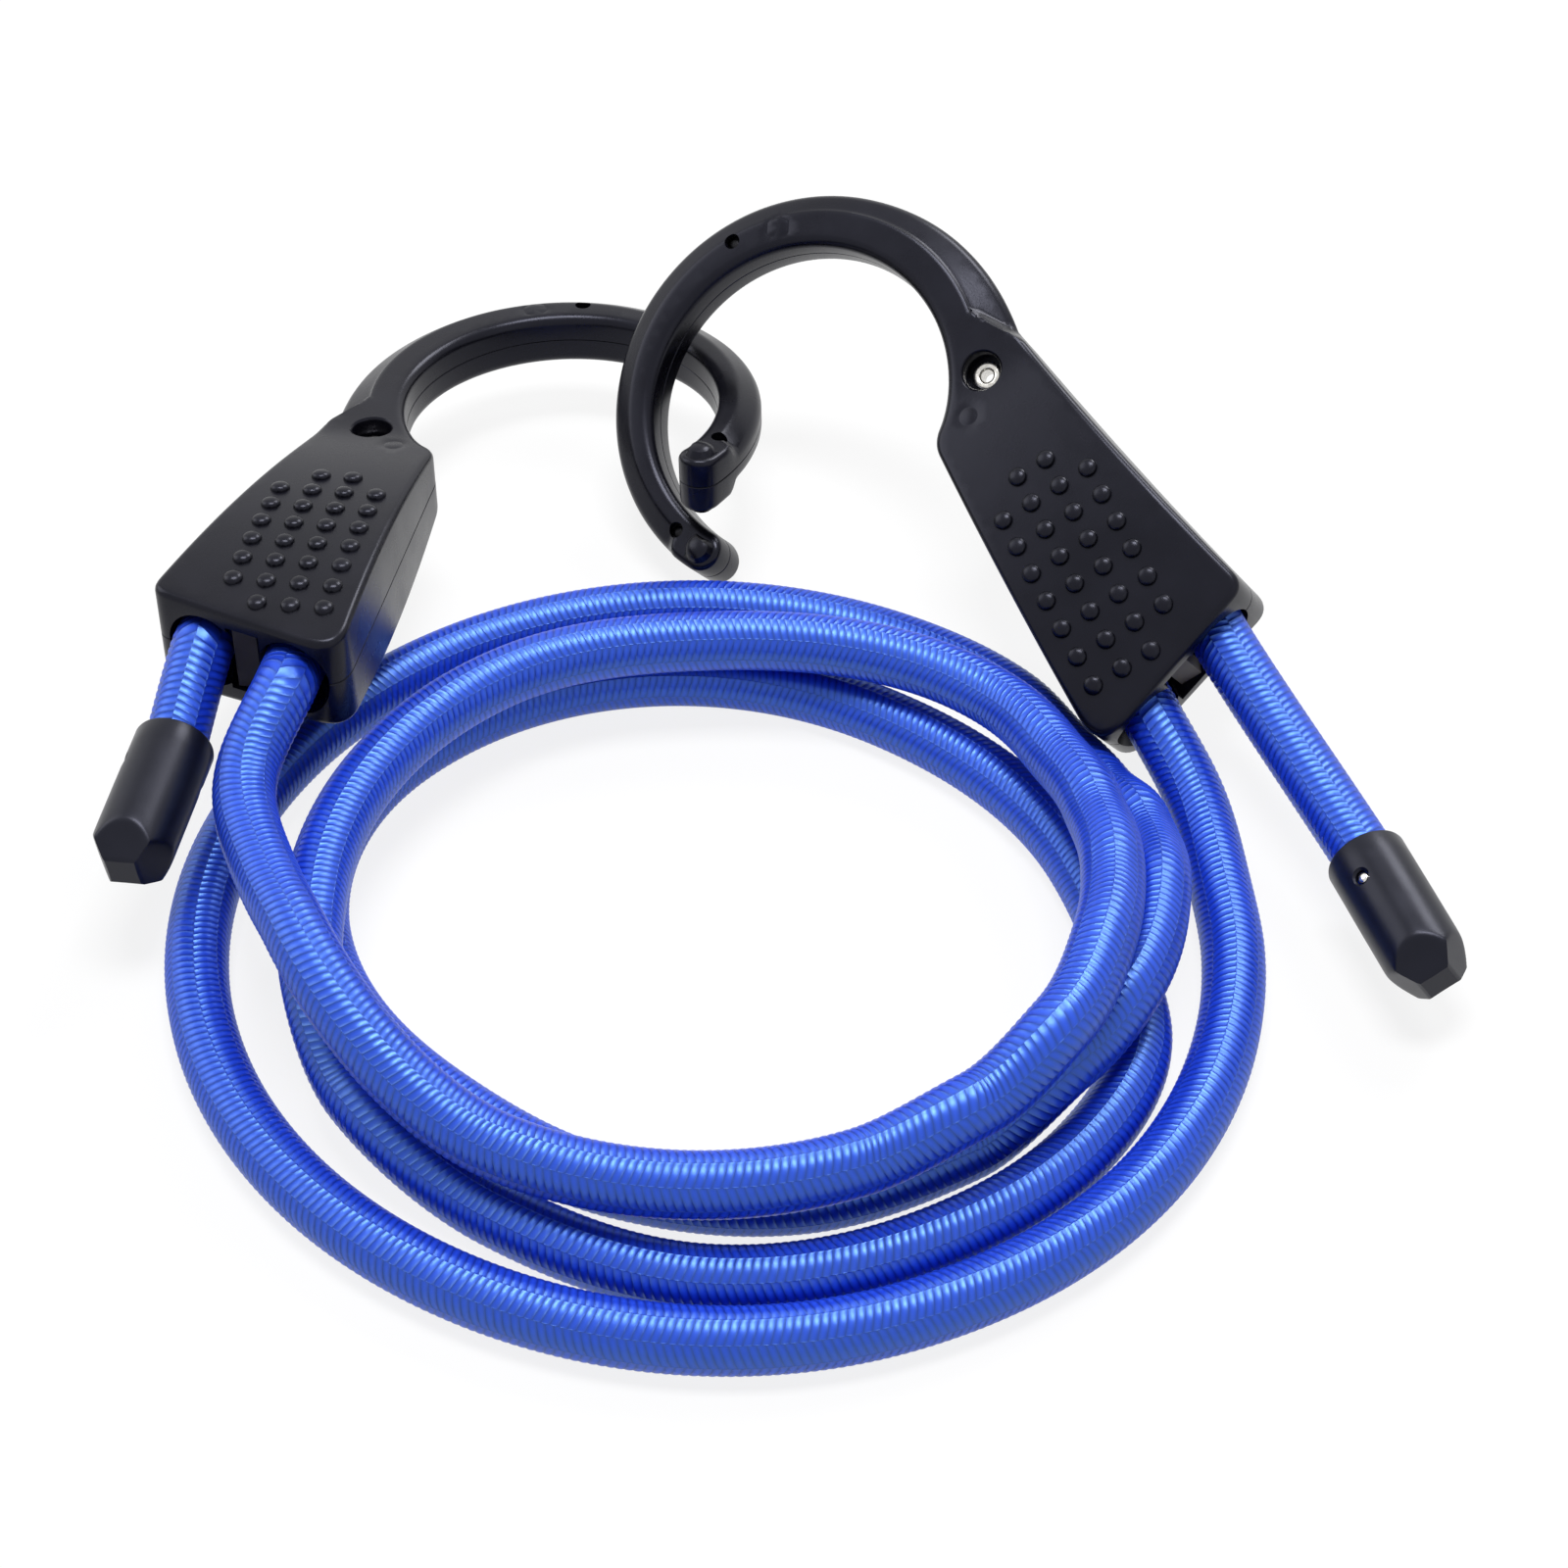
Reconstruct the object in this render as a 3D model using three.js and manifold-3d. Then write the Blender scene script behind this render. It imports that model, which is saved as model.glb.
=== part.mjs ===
// Adjustable bungee cord, laid out on a table: one braided elastic cord, coiled three and a half times,
// with a moulded plastic hook on each end. The cord enters a hook by its live lane, turns round inside it,
// is gripped by a toothed cleat and leaves by the tail lane, where it ends in a pinned cap. The two hooks are
// the same part, lie on opposite faces and hold each other by their arms, like two links of a chain.
// Millimetres, +Z up. The table is the plane z = 0.
import * as THREE from "three";
import { mergeVertices } from "three/addons/utils/BufferGeometryUtils.js";
import Module from "manifold-3d";

const wasm = await Module();
wasm.setup();

// The cord.
const CORD_DIAMETER = 10;
const CORD_FOOT = 1; // depth of the flat on which the coil lies
const COIL_SIDES = 6;
const COIL_STEPS = 24; // steps in one turn
const STACK_GAP = 0.7; // air between two strands that lie on each other
const CORD_SIDES = 10; // sides of the straight stretches
const TOUCH_GAP = 0.3; // air between two pieces that meet

// A hook's body, seen on its front face: x to its outer side, y to the arch, the rivet at the origin.
const LIVE_LANE_X = -3.5;
const LANE_CLEARANCE = 0.5; // between the cord and its lane
const LANE_TOP = -49; // where the lanes end and the turn begins
const TURN_LEG = 0.3; // straight end of the turn in each lane
const INNER_WALL = 4; // beside the live lane
const OUTER_WALL = 3; // beside the tail lane, at the mouth
const FACE_WALL = 4.3; // over the lanes, where the body is thickest
const CROWN_RADIUS = 163; // of each face, along the body
const CROWN_TOP = -43;
const MOUTH_INNER_Y = -69.4; // where the mouth's line meets the inner side
const MOUTH_OUTER_Y = -58.2; // and the outer side
const INNER_CORNER = 7;
const OUTER_CORNER = 3;
const SHOULDER_CORNER = 3;
const OUTER_HOLLOW = 0.6; // how far the outer side is hollow in its middle
const PARTING_GAP = 0.3; // between the two halves

// A hook's arm, between an outer and an inner arc whose centres differ, so that it narrows towards the tip.
const ARM_THICKNESS = 9.4;
const ARM_BEVEL = 3.9; // width of the sloped face along the outer edge
const ARM_EDGE = 1.1; // half the thickness that the slope leaves at the outer edge, where it is least
const BEVEL_STOP = -9; // degrees, where the slope turns out to its end at the neck
const BEVEL_STOP_TURN = -59; // degrees, lie of the line where it ends
const BEVEL_TIP_PLATE = 1.5; // the flat round the tip stands this far over the tip's own round
const ARM_OUTER = { x: -28.8, y: 15, radius: 35.9 };
const ARM_INNER = { x: -30.1, y: 14.5, radius: 27.15 };
const ARM_START = -16; // degrees, where the outer side meets the arm at the neck
const NECK_FULLNESS = 2.4; // how far that place stands out of the outer arc
const NECK_TURN = 45; // degrees, where the neck's swell runs into the outer arc
const NECK_REACH = 20.4; // length of the swell's tangent there
const ARM_END = 208; // degrees, where the tip's round begins
const ARM_PIN_ANGLE = 86;
const TIP_PIN_ANGLE = 197;
const TIP_PIP_RADIUS = 2.6;
const SEAT_WIDTH = 9; // flat in the middle of the arch, where the hook bears on a rail
const SEAT_DEPTH = 0.15;

// Grip dots: rows are counted from the neck to the mouth, columns from the inner side to the outer one.
const DOT_PITCH = 5.45;
const DOT_RADIUS = 1.65;
const DOT_HEIGHT = 0.9;
const DOT_FIELD_Y = -40.5;
const DOT_ROWS = 8;
const DOT_COLUMNS = [
  { first: 2, last: 8 },
  { first: 1, last: 8 },
  { first: 1, last: 8 },
  { first: 2, last: 7 },
];

// Fasteners and the cleat of a hook.
const RIVET_RADIUS = 1.9;
const RIVET_BORE = 1.1;
const RIVET_HEAD_RADIUS = 2.6;
const RIVET_HEAD = 0.9;
const RIVET_WELL_RADIUS = 3.3;
const RIVET_SEAT = 0.7; // height of the well's floor over the parting plane
const PIN_RADIUS = 1.1;
const PIN_RECESS = 1.3; // depth of an arm pin's end below the face
const CLEAT_WIDTH = 5.4;
const CLEAT_TOOTH = 0.8;
const CLEAT_TEETH = 5;
const CLEAT_HEIGHT = 11;
const CLEAT_SETBACK = 1.2; // behind the mouth's line

// The end caps.
const CAP_RADIUS = 6.45;
const CAP_LENGTH = 26.8;
const CAP_SOCKET = 15;
const CAP_NOSE = 5.5; // length of the four flats on the nose
const CAP_NOSE_HALF = 2.6; // half the width of the nose's end
const CAP_PIN_RADIUS = 0.9;
const CAP_PIN_PLACE = 6.8; // from the rim

// Where the hooks lie: the place of each neck rivet from the coil's centre, and heading, pitch and roll.
const LEFT_HOOK = { x: -59.56, y: 99.85, z: 20.42, heading: -9.42, pitch: -6.55, roll: 177.96 };
const RIGHT_HOOK = { x: 45.9, y: 99.26, heading: 27.07, pitch: 21.45, roll: -34.25 };

// The tails, from the mouth to the cap's rim and nose, and how its flats and its pin lie round its axis.
const LEFT_TAIL = { rim: [-84.9, 26.8, 20.5], nose: [-89.9, 0.5, 18.7], roll: -6, pinTurn: 152 };
const RIGHT_TAIL = { rim: [101.9, 10.4, 11.6], nose: [110.2, -15.1, 10.9], roll: 49.5, pinTurn: 104 };
const TAIL_STRAIGHT = 3; // straight run of a tail out of the mouth
const LEAD_STRAIGHT = 4; // the same of a lead

// The coil: degrees along its turns, counted from the right, reach from its centre, layers above the table.
const COIL_KEYS = [
  [180, 68.5, 1.8], [196, 63.6, 1.97], [240, 58.6, 1.03], [292, 57.9, 1.06], [310, 60, 1.4],
  [326, 62, 1.88], [342, 61.3, 1.95], [358, 60.9, 1.75], [374, 60.9, 1.42], [390, 61.6, 1.15],
  [405, 62.9, 1], [450, 57.6, 1], [485, 59.8, 1], [540, 60.7, 1], [556, 62.1, 0.94], [574, 62.9, 0.42],
  [600, 61.9, 0], [630, 65.6, 0], [660, 67.4, 0], [682, 69.1, 0], [700, 68.7, 0], [716, 63.4, 0],
  [736, 60, 0], [780, 57.5, 0], [862, 65.3, 0], [890, 63.2, 0], [940, 51, 0], [975, 50.3, 0],
  [1005, 53.2, 0], [1032, 57, 0.1], [1050, 62.3, 0.82], [1063, 66, 1.04], [1080, 68.7, 1],
  [1097, 70.8, 0.46], [1108, 71.1, 0.06], [1118, 71.8, 0], [1128, 74.2, 0], [1146, 75.6, 0], [1210, 80, 0],
  [1252, 80.4, 0], [1320, 75.8, 0], [1372, 77.7, 0], [1408, 80.3, 0], [1450, 80.8, 0],
];

const CORD_RADIUS = CORD_DIAMETER / 2;
const LAYER = CORD_DIAMETER + STACK_GAP;
const LANE_RADIUS = CORD_RADIUS + LANE_CLEARANCE;
const TAIL_LANE_X = LIVE_LANE_X + CORD_DIAMETER + CLEAT_WIDTH + 2 * TOUCH_GAP;
const TURN_X = (LIVE_LANE_X + TAIL_LANE_X) / 2;
const TURN_RADIUS = (TAIL_LANE_X - LIVE_LANE_X) / 2;
const INNER_SIDE_X = LIVE_LANE_X - LANE_RADIUS - INNER_WALL;
const OUTER_SIDE_X = TAIL_LANE_X + LANE_RADIUS + OUTER_WALL;
const BODY_HALF = LANE_RADIUS + FACE_WALL;
const ARM_HALF = ARM_THICKNESS / 2;
const HALF_FLOOR = PARTING_GAP / 2;
const FAR = 200; // reach of a cutting block past the part

const BLACK_PLASTIC = new THREE.MeshStandardMaterial({ color: "#26262b", roughness: 0.48, metalness: 0 });
const GREY_PLASTIC = new THREE.MeshStandardMaterial({ color: "#6f6a66", roughness: 0.6, metalness: 0 });
const BLACK_RUBBER = new THREE.MeshStandardMaterial({ color: "#1d1d20", roughness: 0.55, metalness: 0 });
const STEEL = new THREE.MeshStandardMaterial({ color: "#c4c6c8", roughness: 0.28, metalness: 1 });
const BLUE_BRAID = new THREE.MeshStandardMaterial({ color: "#2a4fe0", roughness: 0.5, metalness: 0 });

const rad = THREE.MathUtils.degToRad;

// A closed geometry as a solid that can be joined and cut, and a solid as a geometry again.
function solid(geometry) {
  const bare = new THREE.BufferGeometry();
  bare.setAttribute("position", geometry.getAttribute("position").clone());
  if (geometry.index) bare.setIndex(geometry.index.clone());
  const merged = mergeVertices(bare, 1e-4);
  return new wasm.Manifold(
    new wasm.Mesh({
      numProp: 3,
      vertProperties: merged.getAttribute("position").array,
      triVerts: new Uint32Array(merged.index.array),
    }),
  );
}

function geometryOf(body) {
  const mesh = body.getMesh();
  const geometry = new THREE.BufferGeometry();
  geometry.setAttribute("position", new THREE.BufferAttribute(mesh.vertProperties, 3));
  geometry.setIndex(new THREE.BufferAttribute(mesh.triVerts, 1));
  geometry.computeVertexNormals();
  return geometry;
}

function namedMesh(name, geometry, material) {
  const mesh = new THREE.Mesh(geometry, material);
  mesh.name = name;
  return mesh;
}

// A round disc outline for tubes and straight bores.
function disc(radius, sides) {
  const points = [];
  for (let i = 0; i < sides; i++) {
    const angle = (2 * Math.PI * (i + 0.5)) / sides;
    points.push(new THREE.Vector2(radius * Math.cos(angle), radius * Math.sin(angle)));
  }
  return new THREE.Shape(points);
}

function tube(curve, radius, steps) {
  return new THREE.ExtrudeGeometry(disc(radius, CORD_SIDES), { extrudePath: curve, steps });
}

// A round bar along z from one height to another.
function bar(radius, bottom, top, sides) {
  const depth = top - bottom;
  const geometry = new THREE.ExtrudeGeometry(disc(radius, sides), { depth, bevelEnabled: false });
  return geometry.translate(0, 0, bottom);
}

// Half the thickness of a hook at a place along it: the crown runs out into the flat arm at the neck.
function halfThickness(y) {
  return Math.max(ARM_HALF, BODY_HALF - (y - CROWN_TOP) ** 2 / (2 * CROWN_RADIUS));
}

function arcPoint(arc, degrees) {
  return new THREE.Vector2(
    arc.x + arc.radius * Math.cos(rad(degrees)),
    arc.y + arc.radius * Math.sin(rad(degrees)),
  );
}

function armMiddle(degrees) {
  return arcPoint(ARM_OUTER, degrees).lerp(arcPoint(ARM_INNER, degrees), 0.5);
}

// The mouth's line at a place across the body.
function mouthY(x) {
  const share = (x - INNER_SIDE_X) / (OUTER_SIDE_X - INNER_SIDE_X);
  return MOUTH_INNER_Y + share * (MOUTH_OUTER_Y - MOUTH_INNER_Y);
}

// A hook's outline: up the outer side, round the arm to its tip, back by the throat and down the inner side.
function hookOutline() {
  const mouthSlope = (MOUTH_OUTER_Y - MOUTH_INNER_Y) / (OUTER_SIDE_X - INNER_SIDE_X);
  const neck = arcPoint({ ...ARM_OUTER, radius: ARM_OUTER.radius + NECK_FULLNESS }, ARM_START);
  const neckEnd = arcPoint(ARM_OUTER, NECK_TURN);
  const swell = new THREE.Vector2(Math.sin(rad(NECK_TURN)), -Math.cos(rad(NECK_TURN)));
  swell.multiplyScalar(NECK_REACH).add(neckEnd);
  const outerSide = neck.clone().sub(new THREE.Vector2(OUTER_SIDE_X, MOUTH_OUTER_Y)).normalize();
  const tipOut = arcPoint(ARM_OUTER, ARM_END);
  const tipIn = arcPoint(ARM_INNER, ARM_END);
  const tip = tipOut.clone().lerp(tipIn, 0.5);
  const across = tipOut.clone().sub(tip);
  const shoulderDrop = Math.sqrt(ARM_INNER.radius ** 2 - (INNER_SIDE_X - ARM_INNER.x) ** 2);
  const shoulderY = ARM_INNER.y - shoulderDrop;
  const shoulderAngle = Math.atan2(-shoulderDrop, INNER_SIDE_X - ARM_INNER.x);
  const throatEnd = shoulderAngle + SHOULDER_CORNER / ARM_INNER.radius;
  const cornerX = OUTER_SIDE_X - OUTER_CORNER;
  const innerX = INNER_SIDE_X + INNER_CORNER;

  const shape = new THREE.Shape();
  shape.moveTo(cornerX, mouthY(cornerX));
  shape.quadraticCurveTo(
    OUTER_SIDE_X, MOUTH_OUTER_Y,
    OUTER_SIDE_X + OUTER_CORNER * outerSide.x, MOUTH_OUTER_Y + OUTER_CORNER * outerSide.y,
  );
  shape.quadraticCurveTo(
    (OUTER_SIDE_X + neck.x) / 2 - 2 * OUTER_HOLLOW, (MOUTH_OUTER_Y + neck.y) / 2, neck.x, neck.y,
  );
  shape.quadraticCurveTo(swell.x, swell.y, neckEnd.x, neckEnd.y);
  shape.absarc(ARM_OUTER.x, ARM_OUTER.y, ARM_OUTER.radius, rad(NECK_TURN), rad(ARM_END), false);
  shape.absarc(tip.x, tip.y, across.length(), across.angle(), across.angle() + Math.PI, false);
  shape.absarc(ARM_INNER.x, ARM_INNER.y, ARM_INNER.radius, rad(ARM_END), throatEnd, true);
  shape.quadraticCurveTo(INNER_SIDE_X, shoulderY, INNER_SIDE_X, shoulderY - SHOULDER_CORNER);
  shape.lineTo(INNER_SIDE_X, MOUTH_INNER_Y + INNER_CORNER);
  shape.quadraticCurveTo(INNER_SIDE_X, MOUTH_INNER_Y, innerX, MOUTH_INNER_Y + INNER_CORNER * mouthSlope);
  return shape;
}

// The space under the crowned face and over the parting plane, as long and as wide as the hook.
function crownSpace() {
  const steps = 14;
  const low = MOUTH_INNER_Y - CORD_DIAMETER;
  const runOut = CROWN_TOP + Math.sqrt(2 * CROWN_RADIUS * (BODY_HALF - ARM_HALF));
  const profile = new THREE.Shape();
  profile.moveTo(low, HALF_FLOOR);
  profile.lineTo(FAR, HALF_FLOOR);
  profile.lineTo(FAR, ARM_HALF);
  for (let i = 0; i <= steps; i++) {
    const y = runOut + (i / steps) * (low - runOut);
    profile.lineTo(y, halfThickness(y));
  }
  const geometry = new THREE.ExtrudeGeometry(profile, { depth: 2 * FAR, bevelEnabled: false });
  geometry.translate(0, 0, -FAR);
  const turn = new THREE.Matrix4().makeBasis(
    new THREE.Vector3(0, 1, 0), new THREE.Vector3(0, 0, 1), new THREE.Vector3(1, 0, 0),
  );
  return solid(geometry.applyMatrix4(turn));
}

// What is taken off the arm: its face falls as a cone to the outer edge, from the neck to the tip's plate.
function armBevel() {
  const start = ARM_OUTER.radius - ARM_BEVEL;
  const reach = ARM_OUTER.radius + NECK_FULLNESS;
  const profile = [
    new THREE.Vector2(start, ARM_HALF),
    new THREE.Vector2(reach, ARM_EDGE),
    new THREE.Vector2(reach, BODY_HALF),
    new THREE.Vector2(start, BODY_HALF),
    new THREE.Vector2(start, ARM_HALF),
  ];
  const cone = new THREE.LatheGeometry(profile, 36).rotateX(Math.PI / 2);
  const stop = arcPoint({ ...ARM_OUTER, radius: start }, BEVEL_STOP);
  const body = new THREE.BoxGeometry(FAR, FAR, FAR).translate(FAR / 2, -FAR / 2, 0);
  body.rotateZ(rad(BEVEL_STOP_TURN)).translate(stop.x, stop.y, 0);
  const tip = armMiddle(ARM_END);
  const plateRadius = tip.distanceTo(arcPoint(ARM_OUTER, ARM_END)) + BEVEL_TIP_PLATE;
  const plate = bar(plateRadius, 0, 2 * BODY_HALF, 20).translate(tip.x, tip.y, 0);
  return solid(cone.translate(ARM_OUTER.x, ARM_OUTER.y, 0)).subtract(solid(body)).subtract(solid(plate));
}

// The cord's turn inside a hook, from the live lane over to the tail lane.
function turnCurve() {
  const leg = (x, share) => new THREE.Vector3(x, LANE_TOP - share * TURN_LEG, 0);
  const points = [leg(LIVE_LANE_X, 1), leg(LIVE_LANE_X, 0.5)];
  const steps = 8;
  for (let i = 0; i <= steps; i++) {
    const angle = Math.PI * (1 - i / steps);
    const x = TURN_X + TURN_RADIUS * Math.cos(angle);
    points.push(new THREE.Vector3(x, LANE_TOP + TURN_RADIUS * Math.sin(angle), 0));
  }
  points.push(leg(TAIL_LANE_X, 0.5), leg(TAIL_LANE_X, 1));
  return new THREE.CatmullRomCurve3(points);
}

function lane(x) {
  const bottom = new THREE.Vector3(x, MOUTH_INNER_Y - CORD_DIAMETER, 0);
  return tube(new THREE.LineCurve3(bottom, new THREE.Vector3(x, LANE_TOP + TOUCH_GAP, 0)), LANE_RADIUS, 1);
}

// The cleat between the lanes, with teeth along both sides.
function cleatBlock() {
  const bottom = mouthY(TURN_X) + CLEAT_SETBACK;
  const pitch = (LANE_TOP - bottom) / CLEAT_TEETH;
  const crest = CLEAT_WIDTH / 2;
  const shape = new THREE.Shape();
  shape.moveTo(TURN_X - crest + CLEAT_TOOTH, bottom);
  for (let i = 0; i < CLEAT_TEETH; i++) {
    shape.lineTo(TURN_X + crest - CLEAT_TOOTH, bottom + i * pitch);
    shape.lineTo(TURN_X + crest, bottom + (i + 0.7) * pitch);
  }
  shape.lineTo(TURN_X + crest - CLEAT_TOOTH, LANE_TOP);
  for (let i = CLEAT_TEETH - 1; i >= 0; i--) {
    shape.lineTo(TURN_X - crest, bottom + (i + 0.7) * pitch);
    shape.lineTo(TURN_X - crest + CLEAT_TOOTH, bottom + i * pitch);
  }
  const geometry = new THREE.ExtrudeGeometry(shape, { depth: CLEAT_HEIGHT, bevelEnabled: false });
  return geometry.translate(0, 0, -CLEAT_HEIGHT / 2);
}

// The pocket for the cleat, open to the mouth.
function cleatPocket() {
  const bottom = MOUTH_INNER_Y - CORD_DIAMETER;
  const top = LANE_TOP + TOUCH_GAP;
  const width = CLEAT_WIDTH + 2 * TOUCH_GAP;
  const box = new THREE.BoxGeometry(width, top - bottom, CLEAT_HEIGHT + 2 * TOUCH_GAP);
  return box.translate(TURN_X, (top + bottom) / 2, 0);
}

function dotPlaces() {
  const places = [];
  DOT_COLUMNS.forEach(({ first, last }, column) => {
    const x = (column - (DOT_COLUMNS.length - 1) / 2) * DOT_PITCH;
    for (let row = first; row <= last; row++) {
      places.push([x, DOT_FIELD_Y - (row - (DOT_ROWS + 1) / 2) * DOT_PITCH]);
    }
  });
  return places;
}

// A low round knob with its foot sunk in the face.
function knob(radius, height) {
  const foot = 0.8;
  const profile = [
    new THREE.Vector2(0, -foot),
    new THREE.Vector2(radius, -foot),
    new THREE.Vector2(radius * 0.6, height),
    new THREE.Vector2(0, height),
  ];
  return new THREE.LatheGeometry(profile, 7).rotateX(Math.PI / 2);
}

// The front half of a hook. The rear half is its mirror image.
function hookHalf() {
  const extrusion = new THREE.ExtrudeGeometry(hookOutline(), {
    depth: BODY_HALF + FACE_WALL, bevelEnabled: false, curveSegments: 8,
  });
  let half = solid(extrusion).intersect(crownSpace()).subtract(armBevel());
  for (const [x, y] of dotPlaces()) {
    half = half.add(solid(knob(DOT_RADIUS, DOT_HEIGHT).translate(x, y, halfThickness(y))));
  }
  const pip = armMiddle(ARM_END);
  half = half.add(solid(knob(TIP_PIP_RADIUS, TIP_PIP_RADIUS * 0.6).translate(pip.x, pip.y, ARM_HALF)));
  half = half.subtract(solid(lane(LIVE_LANE_X))).subtract(solid(lane(TAIL_LANE_X)));
  half = half.subtract(solid(tube(turnCurve(), LANE_RADIUS, 10)));
  half = half.subtract(solid(cleatPocket()));
  const rivetWell = bar(RIVET_WELL_RADIUS, RIVET_SEAT, BODY_HALF + FACE_WALL, 16);
  half = half.subtract(solid(rivetWell));
  half = half.subtract(solid(bar(RIVET_RADIUS + TOUCH_GAP, -BODY_HALF, BODY_HALF, 12)));
  for (const angle of [ARM_PIN_ANGLE, TIP_PIN_ANGLE]) {
    const place = armMiddle(angle);
    const pinHole = bar(PIN_RADIUS + TOUCH_GAP, -BODY_HALF, BODY_HALF, 8);
    half = half.subtract(solid(pinHole.translate(place.x, place.y, 0)));
  }
  const seat = new THREE.BoxGeometry(SEAT_WIDTH, ARM_INNER.radius, 2 * FAR);
  seat.translate(ARM_INNER.x, ARM_INNER.y + SEAT_DEPTH + ARM_INNER.radius / 2, 0);
  return geometryOf(half.subtract(solid(seat)));
}

// The tubular rivet that holds the two halves together at the neck, with a head in each counterbore.
function rivet() {
  const top = RIVET_SEAT + TOUCH_GAP + RIVET_HEAD;
  const shoulder = RIVET_SEAT + TOUCH_GAP;
  const profile = [
    [RIVET_BORE, -top], [RIVET_HEAD_RADIUS, -top], [RIVET_HEAD_RADIUS, -shoulder], [RIVET_RADIUS, -shoulder],
    [RIVET_RADIUS, shoulder], [RIVET_HEAD_RADIUS, shoulder], [RIVET_HEAD_RADIUS, top], [RIVET_BORE, top],
    [RIVET_BORE, -top],
  ];
  const points = profile.map(([radius, height]) => new THREE.Vector2(radius, height));
  return new THREE.LatheGeometry(points, 16).rotateX(Math.PI / 2);
}

function armPin() {
  const reach = ARM_HALF - PIN_RECESS;
  return bar(PIN_RADIUS, -reach, reach, 8);
}

// One hook at its place, with all that rides on it.
function makeHook(side, parts) {
  const hook = new THREE.Group();
  const rear = namedMesh(`${side}_hook_rear_half`, parts.half, BLACK_PLASTIC);
  rear.scale.z = -1;
  hook.add(namedMesh(`${side}_hook_front_half`, parts.half, BLACK_PLASTIC), rear);
  hook.add(namedMesh(`${side}_neck_rivet`, parts.rivet, STEEL));
  hook.add(namedMesh(`${side}_cord_cleat`, parts.cleat, GREY_PLASTIC));
  hook.add(namedMesh(`${side}_cord_turn`, parts.turn, BLUE_BRAID));
  for (const [name, angle] of [["arm_pin", ARM_PIN_ANGLE], ["tip_pin", TIP_PIN_ANGLE]]) {
    const pin = namedMesh(`${side}_${name}`, parts.pin, STEEL);
    const place = armMiddle(angle);
    pin.position.set(place.x, place.y, 0);
    hook.add(pin);
  }
  return hook;
}

function placeHook(hook, place) {
  hook.rotation.set(rad(place.pitch), rad(place.roll), rad(place.heading), "ZXY");
  hook.position.set(place.x, place.y, place.z ?? 0);
  hook.updateMatrixWorld(true);
}

// A cap: a socket for the cord, a round barrel and a nose cut to four flats. Its axis is z, its rim at zero.
function capBody() {
  const socket = CORD_RADIUS + LANE_CLEARANCE;
  const profile = [
    [0, CAP_SOCKET], [socket, CAP_SOCKET], [socket, 0],
    [CAP_RADIUS, 0], [CAP_RADIUS, CAP_LENGTH], [0, CAP_LENGTH],
  ];
  const points = profile.map(([radius, height]) => new THREE.Vector2(radius, height));
  const barrel = solid(new THREE.LatheGeometry(points, 20).rotateX(Math.PI / 2));
  const slope = (CAP_RADIUS - CAP_NOSE_HALF) / CAP_NOSE;
  const baseHalf = CAP_RADIUS + (CAP_LENGTH - CAP_NOSE) * slope;
  const nose = new THREE.CylinderGeometry(
    CAP_NOSE_HALF * Math.SQRT2, baseHalf * Math.SQRT2, CAP_LENGTH, 4,
  );
  nose.rotateY(Math.PI / 4).rotateX(Math.PI / 2).translate(0, 0, CAP_LENGTH / 2);
  return barrel.intersect(solid(nose));
}

// A bar across the cap's axis: the cap's pin, or the hole for it.
function crossBar(radius, reach, turn) {
  const along = bar(radius, -reach, reach, 10).rotateY(Math.PI / 2);
  return along.rotateZ(rad(turn)).translate(0, 0, CAP_PIN_PLACE);
}

// A tail with its cap and pin: straight out of the hook's mouth, then over to the cap's axis.
function makeTail(side, hook, ends) {
  const group = new THREE.Group();
  const rim = new THREE.Vector3(...ends.rim);
  const axis = new THREE.Vector3(...ends.nose).sub(rim).normalize();
  const inHook = (y) => hook.localToWorld(new THREE.Vector3(TAIL_LANE_X, y, 0));
  const mouth = mouthY(TAIL_LANE_X);
  const route = [
    inHook(LANE_TOP - TURN_LEG - TOUCH_GAP),
    inHook((LANE_TOP + mouth) / 2),
    inHook(mouth),
    inHook(mouth - TAIL_STRAIGHT),
    rim.clone().addScaledVector(axis, -CORD_RADIUS / 4),
    rim.clone().addScaledVector(axis, CAP_SOCKET / 2),
    rim.clone().addScaledVector(axis, CAP_SOCKET - TOUCH_GAP),
  ];
  const capAxis = new THREE.Vector3(0, 0, 1);
  const capTurn = new THREE.Quaternion().setFromUnitVectors(capAxis, axis);
  capTurn.multiply(new THREE.Quaternion().setFromAxisAngle(capAxis, rad(ends.roll)));
  const capFrame = new THREE.Matrix4().compose(rim, capTurn, new THREE.Vector3(1, 1, 1));
  const pinHole = crossBar(CAP_PIN_RADIUS + TOUCH_GAP, 2 * CAP_RADIUS, ends.pinTurn);
  const cap = capBody().subtract(solid(pinHole));
  const cord = solid(tube(new THREE.CatmullRomCurve3(route), CORD_RADIUS, 14));
  const tail = cord.subtract(solid(pinHole.clone().applyMatrix4(capFrame)));
  group.add(namedMesh(`${side}_tail_cord`, geometryOf(tail), BLUE_BRAID));
  const capMesh = namedMesh(`${side}_end_cap`, geometryOf(cap), BLACK_RUBBER);
  const pin = crossBar(CAP_PIN_RADIUS, CAP_RADIUS, ends.pinTurn);
  const pinMesh = namedMesh(`${side}_cap_pin`, pin, STEEL);
  for (const mesh of [capMesh, pinMesh]) {
    mesh.applyMatrix4(capFrame);
    group.add(mesh);
  }
  return group;
}

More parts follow.
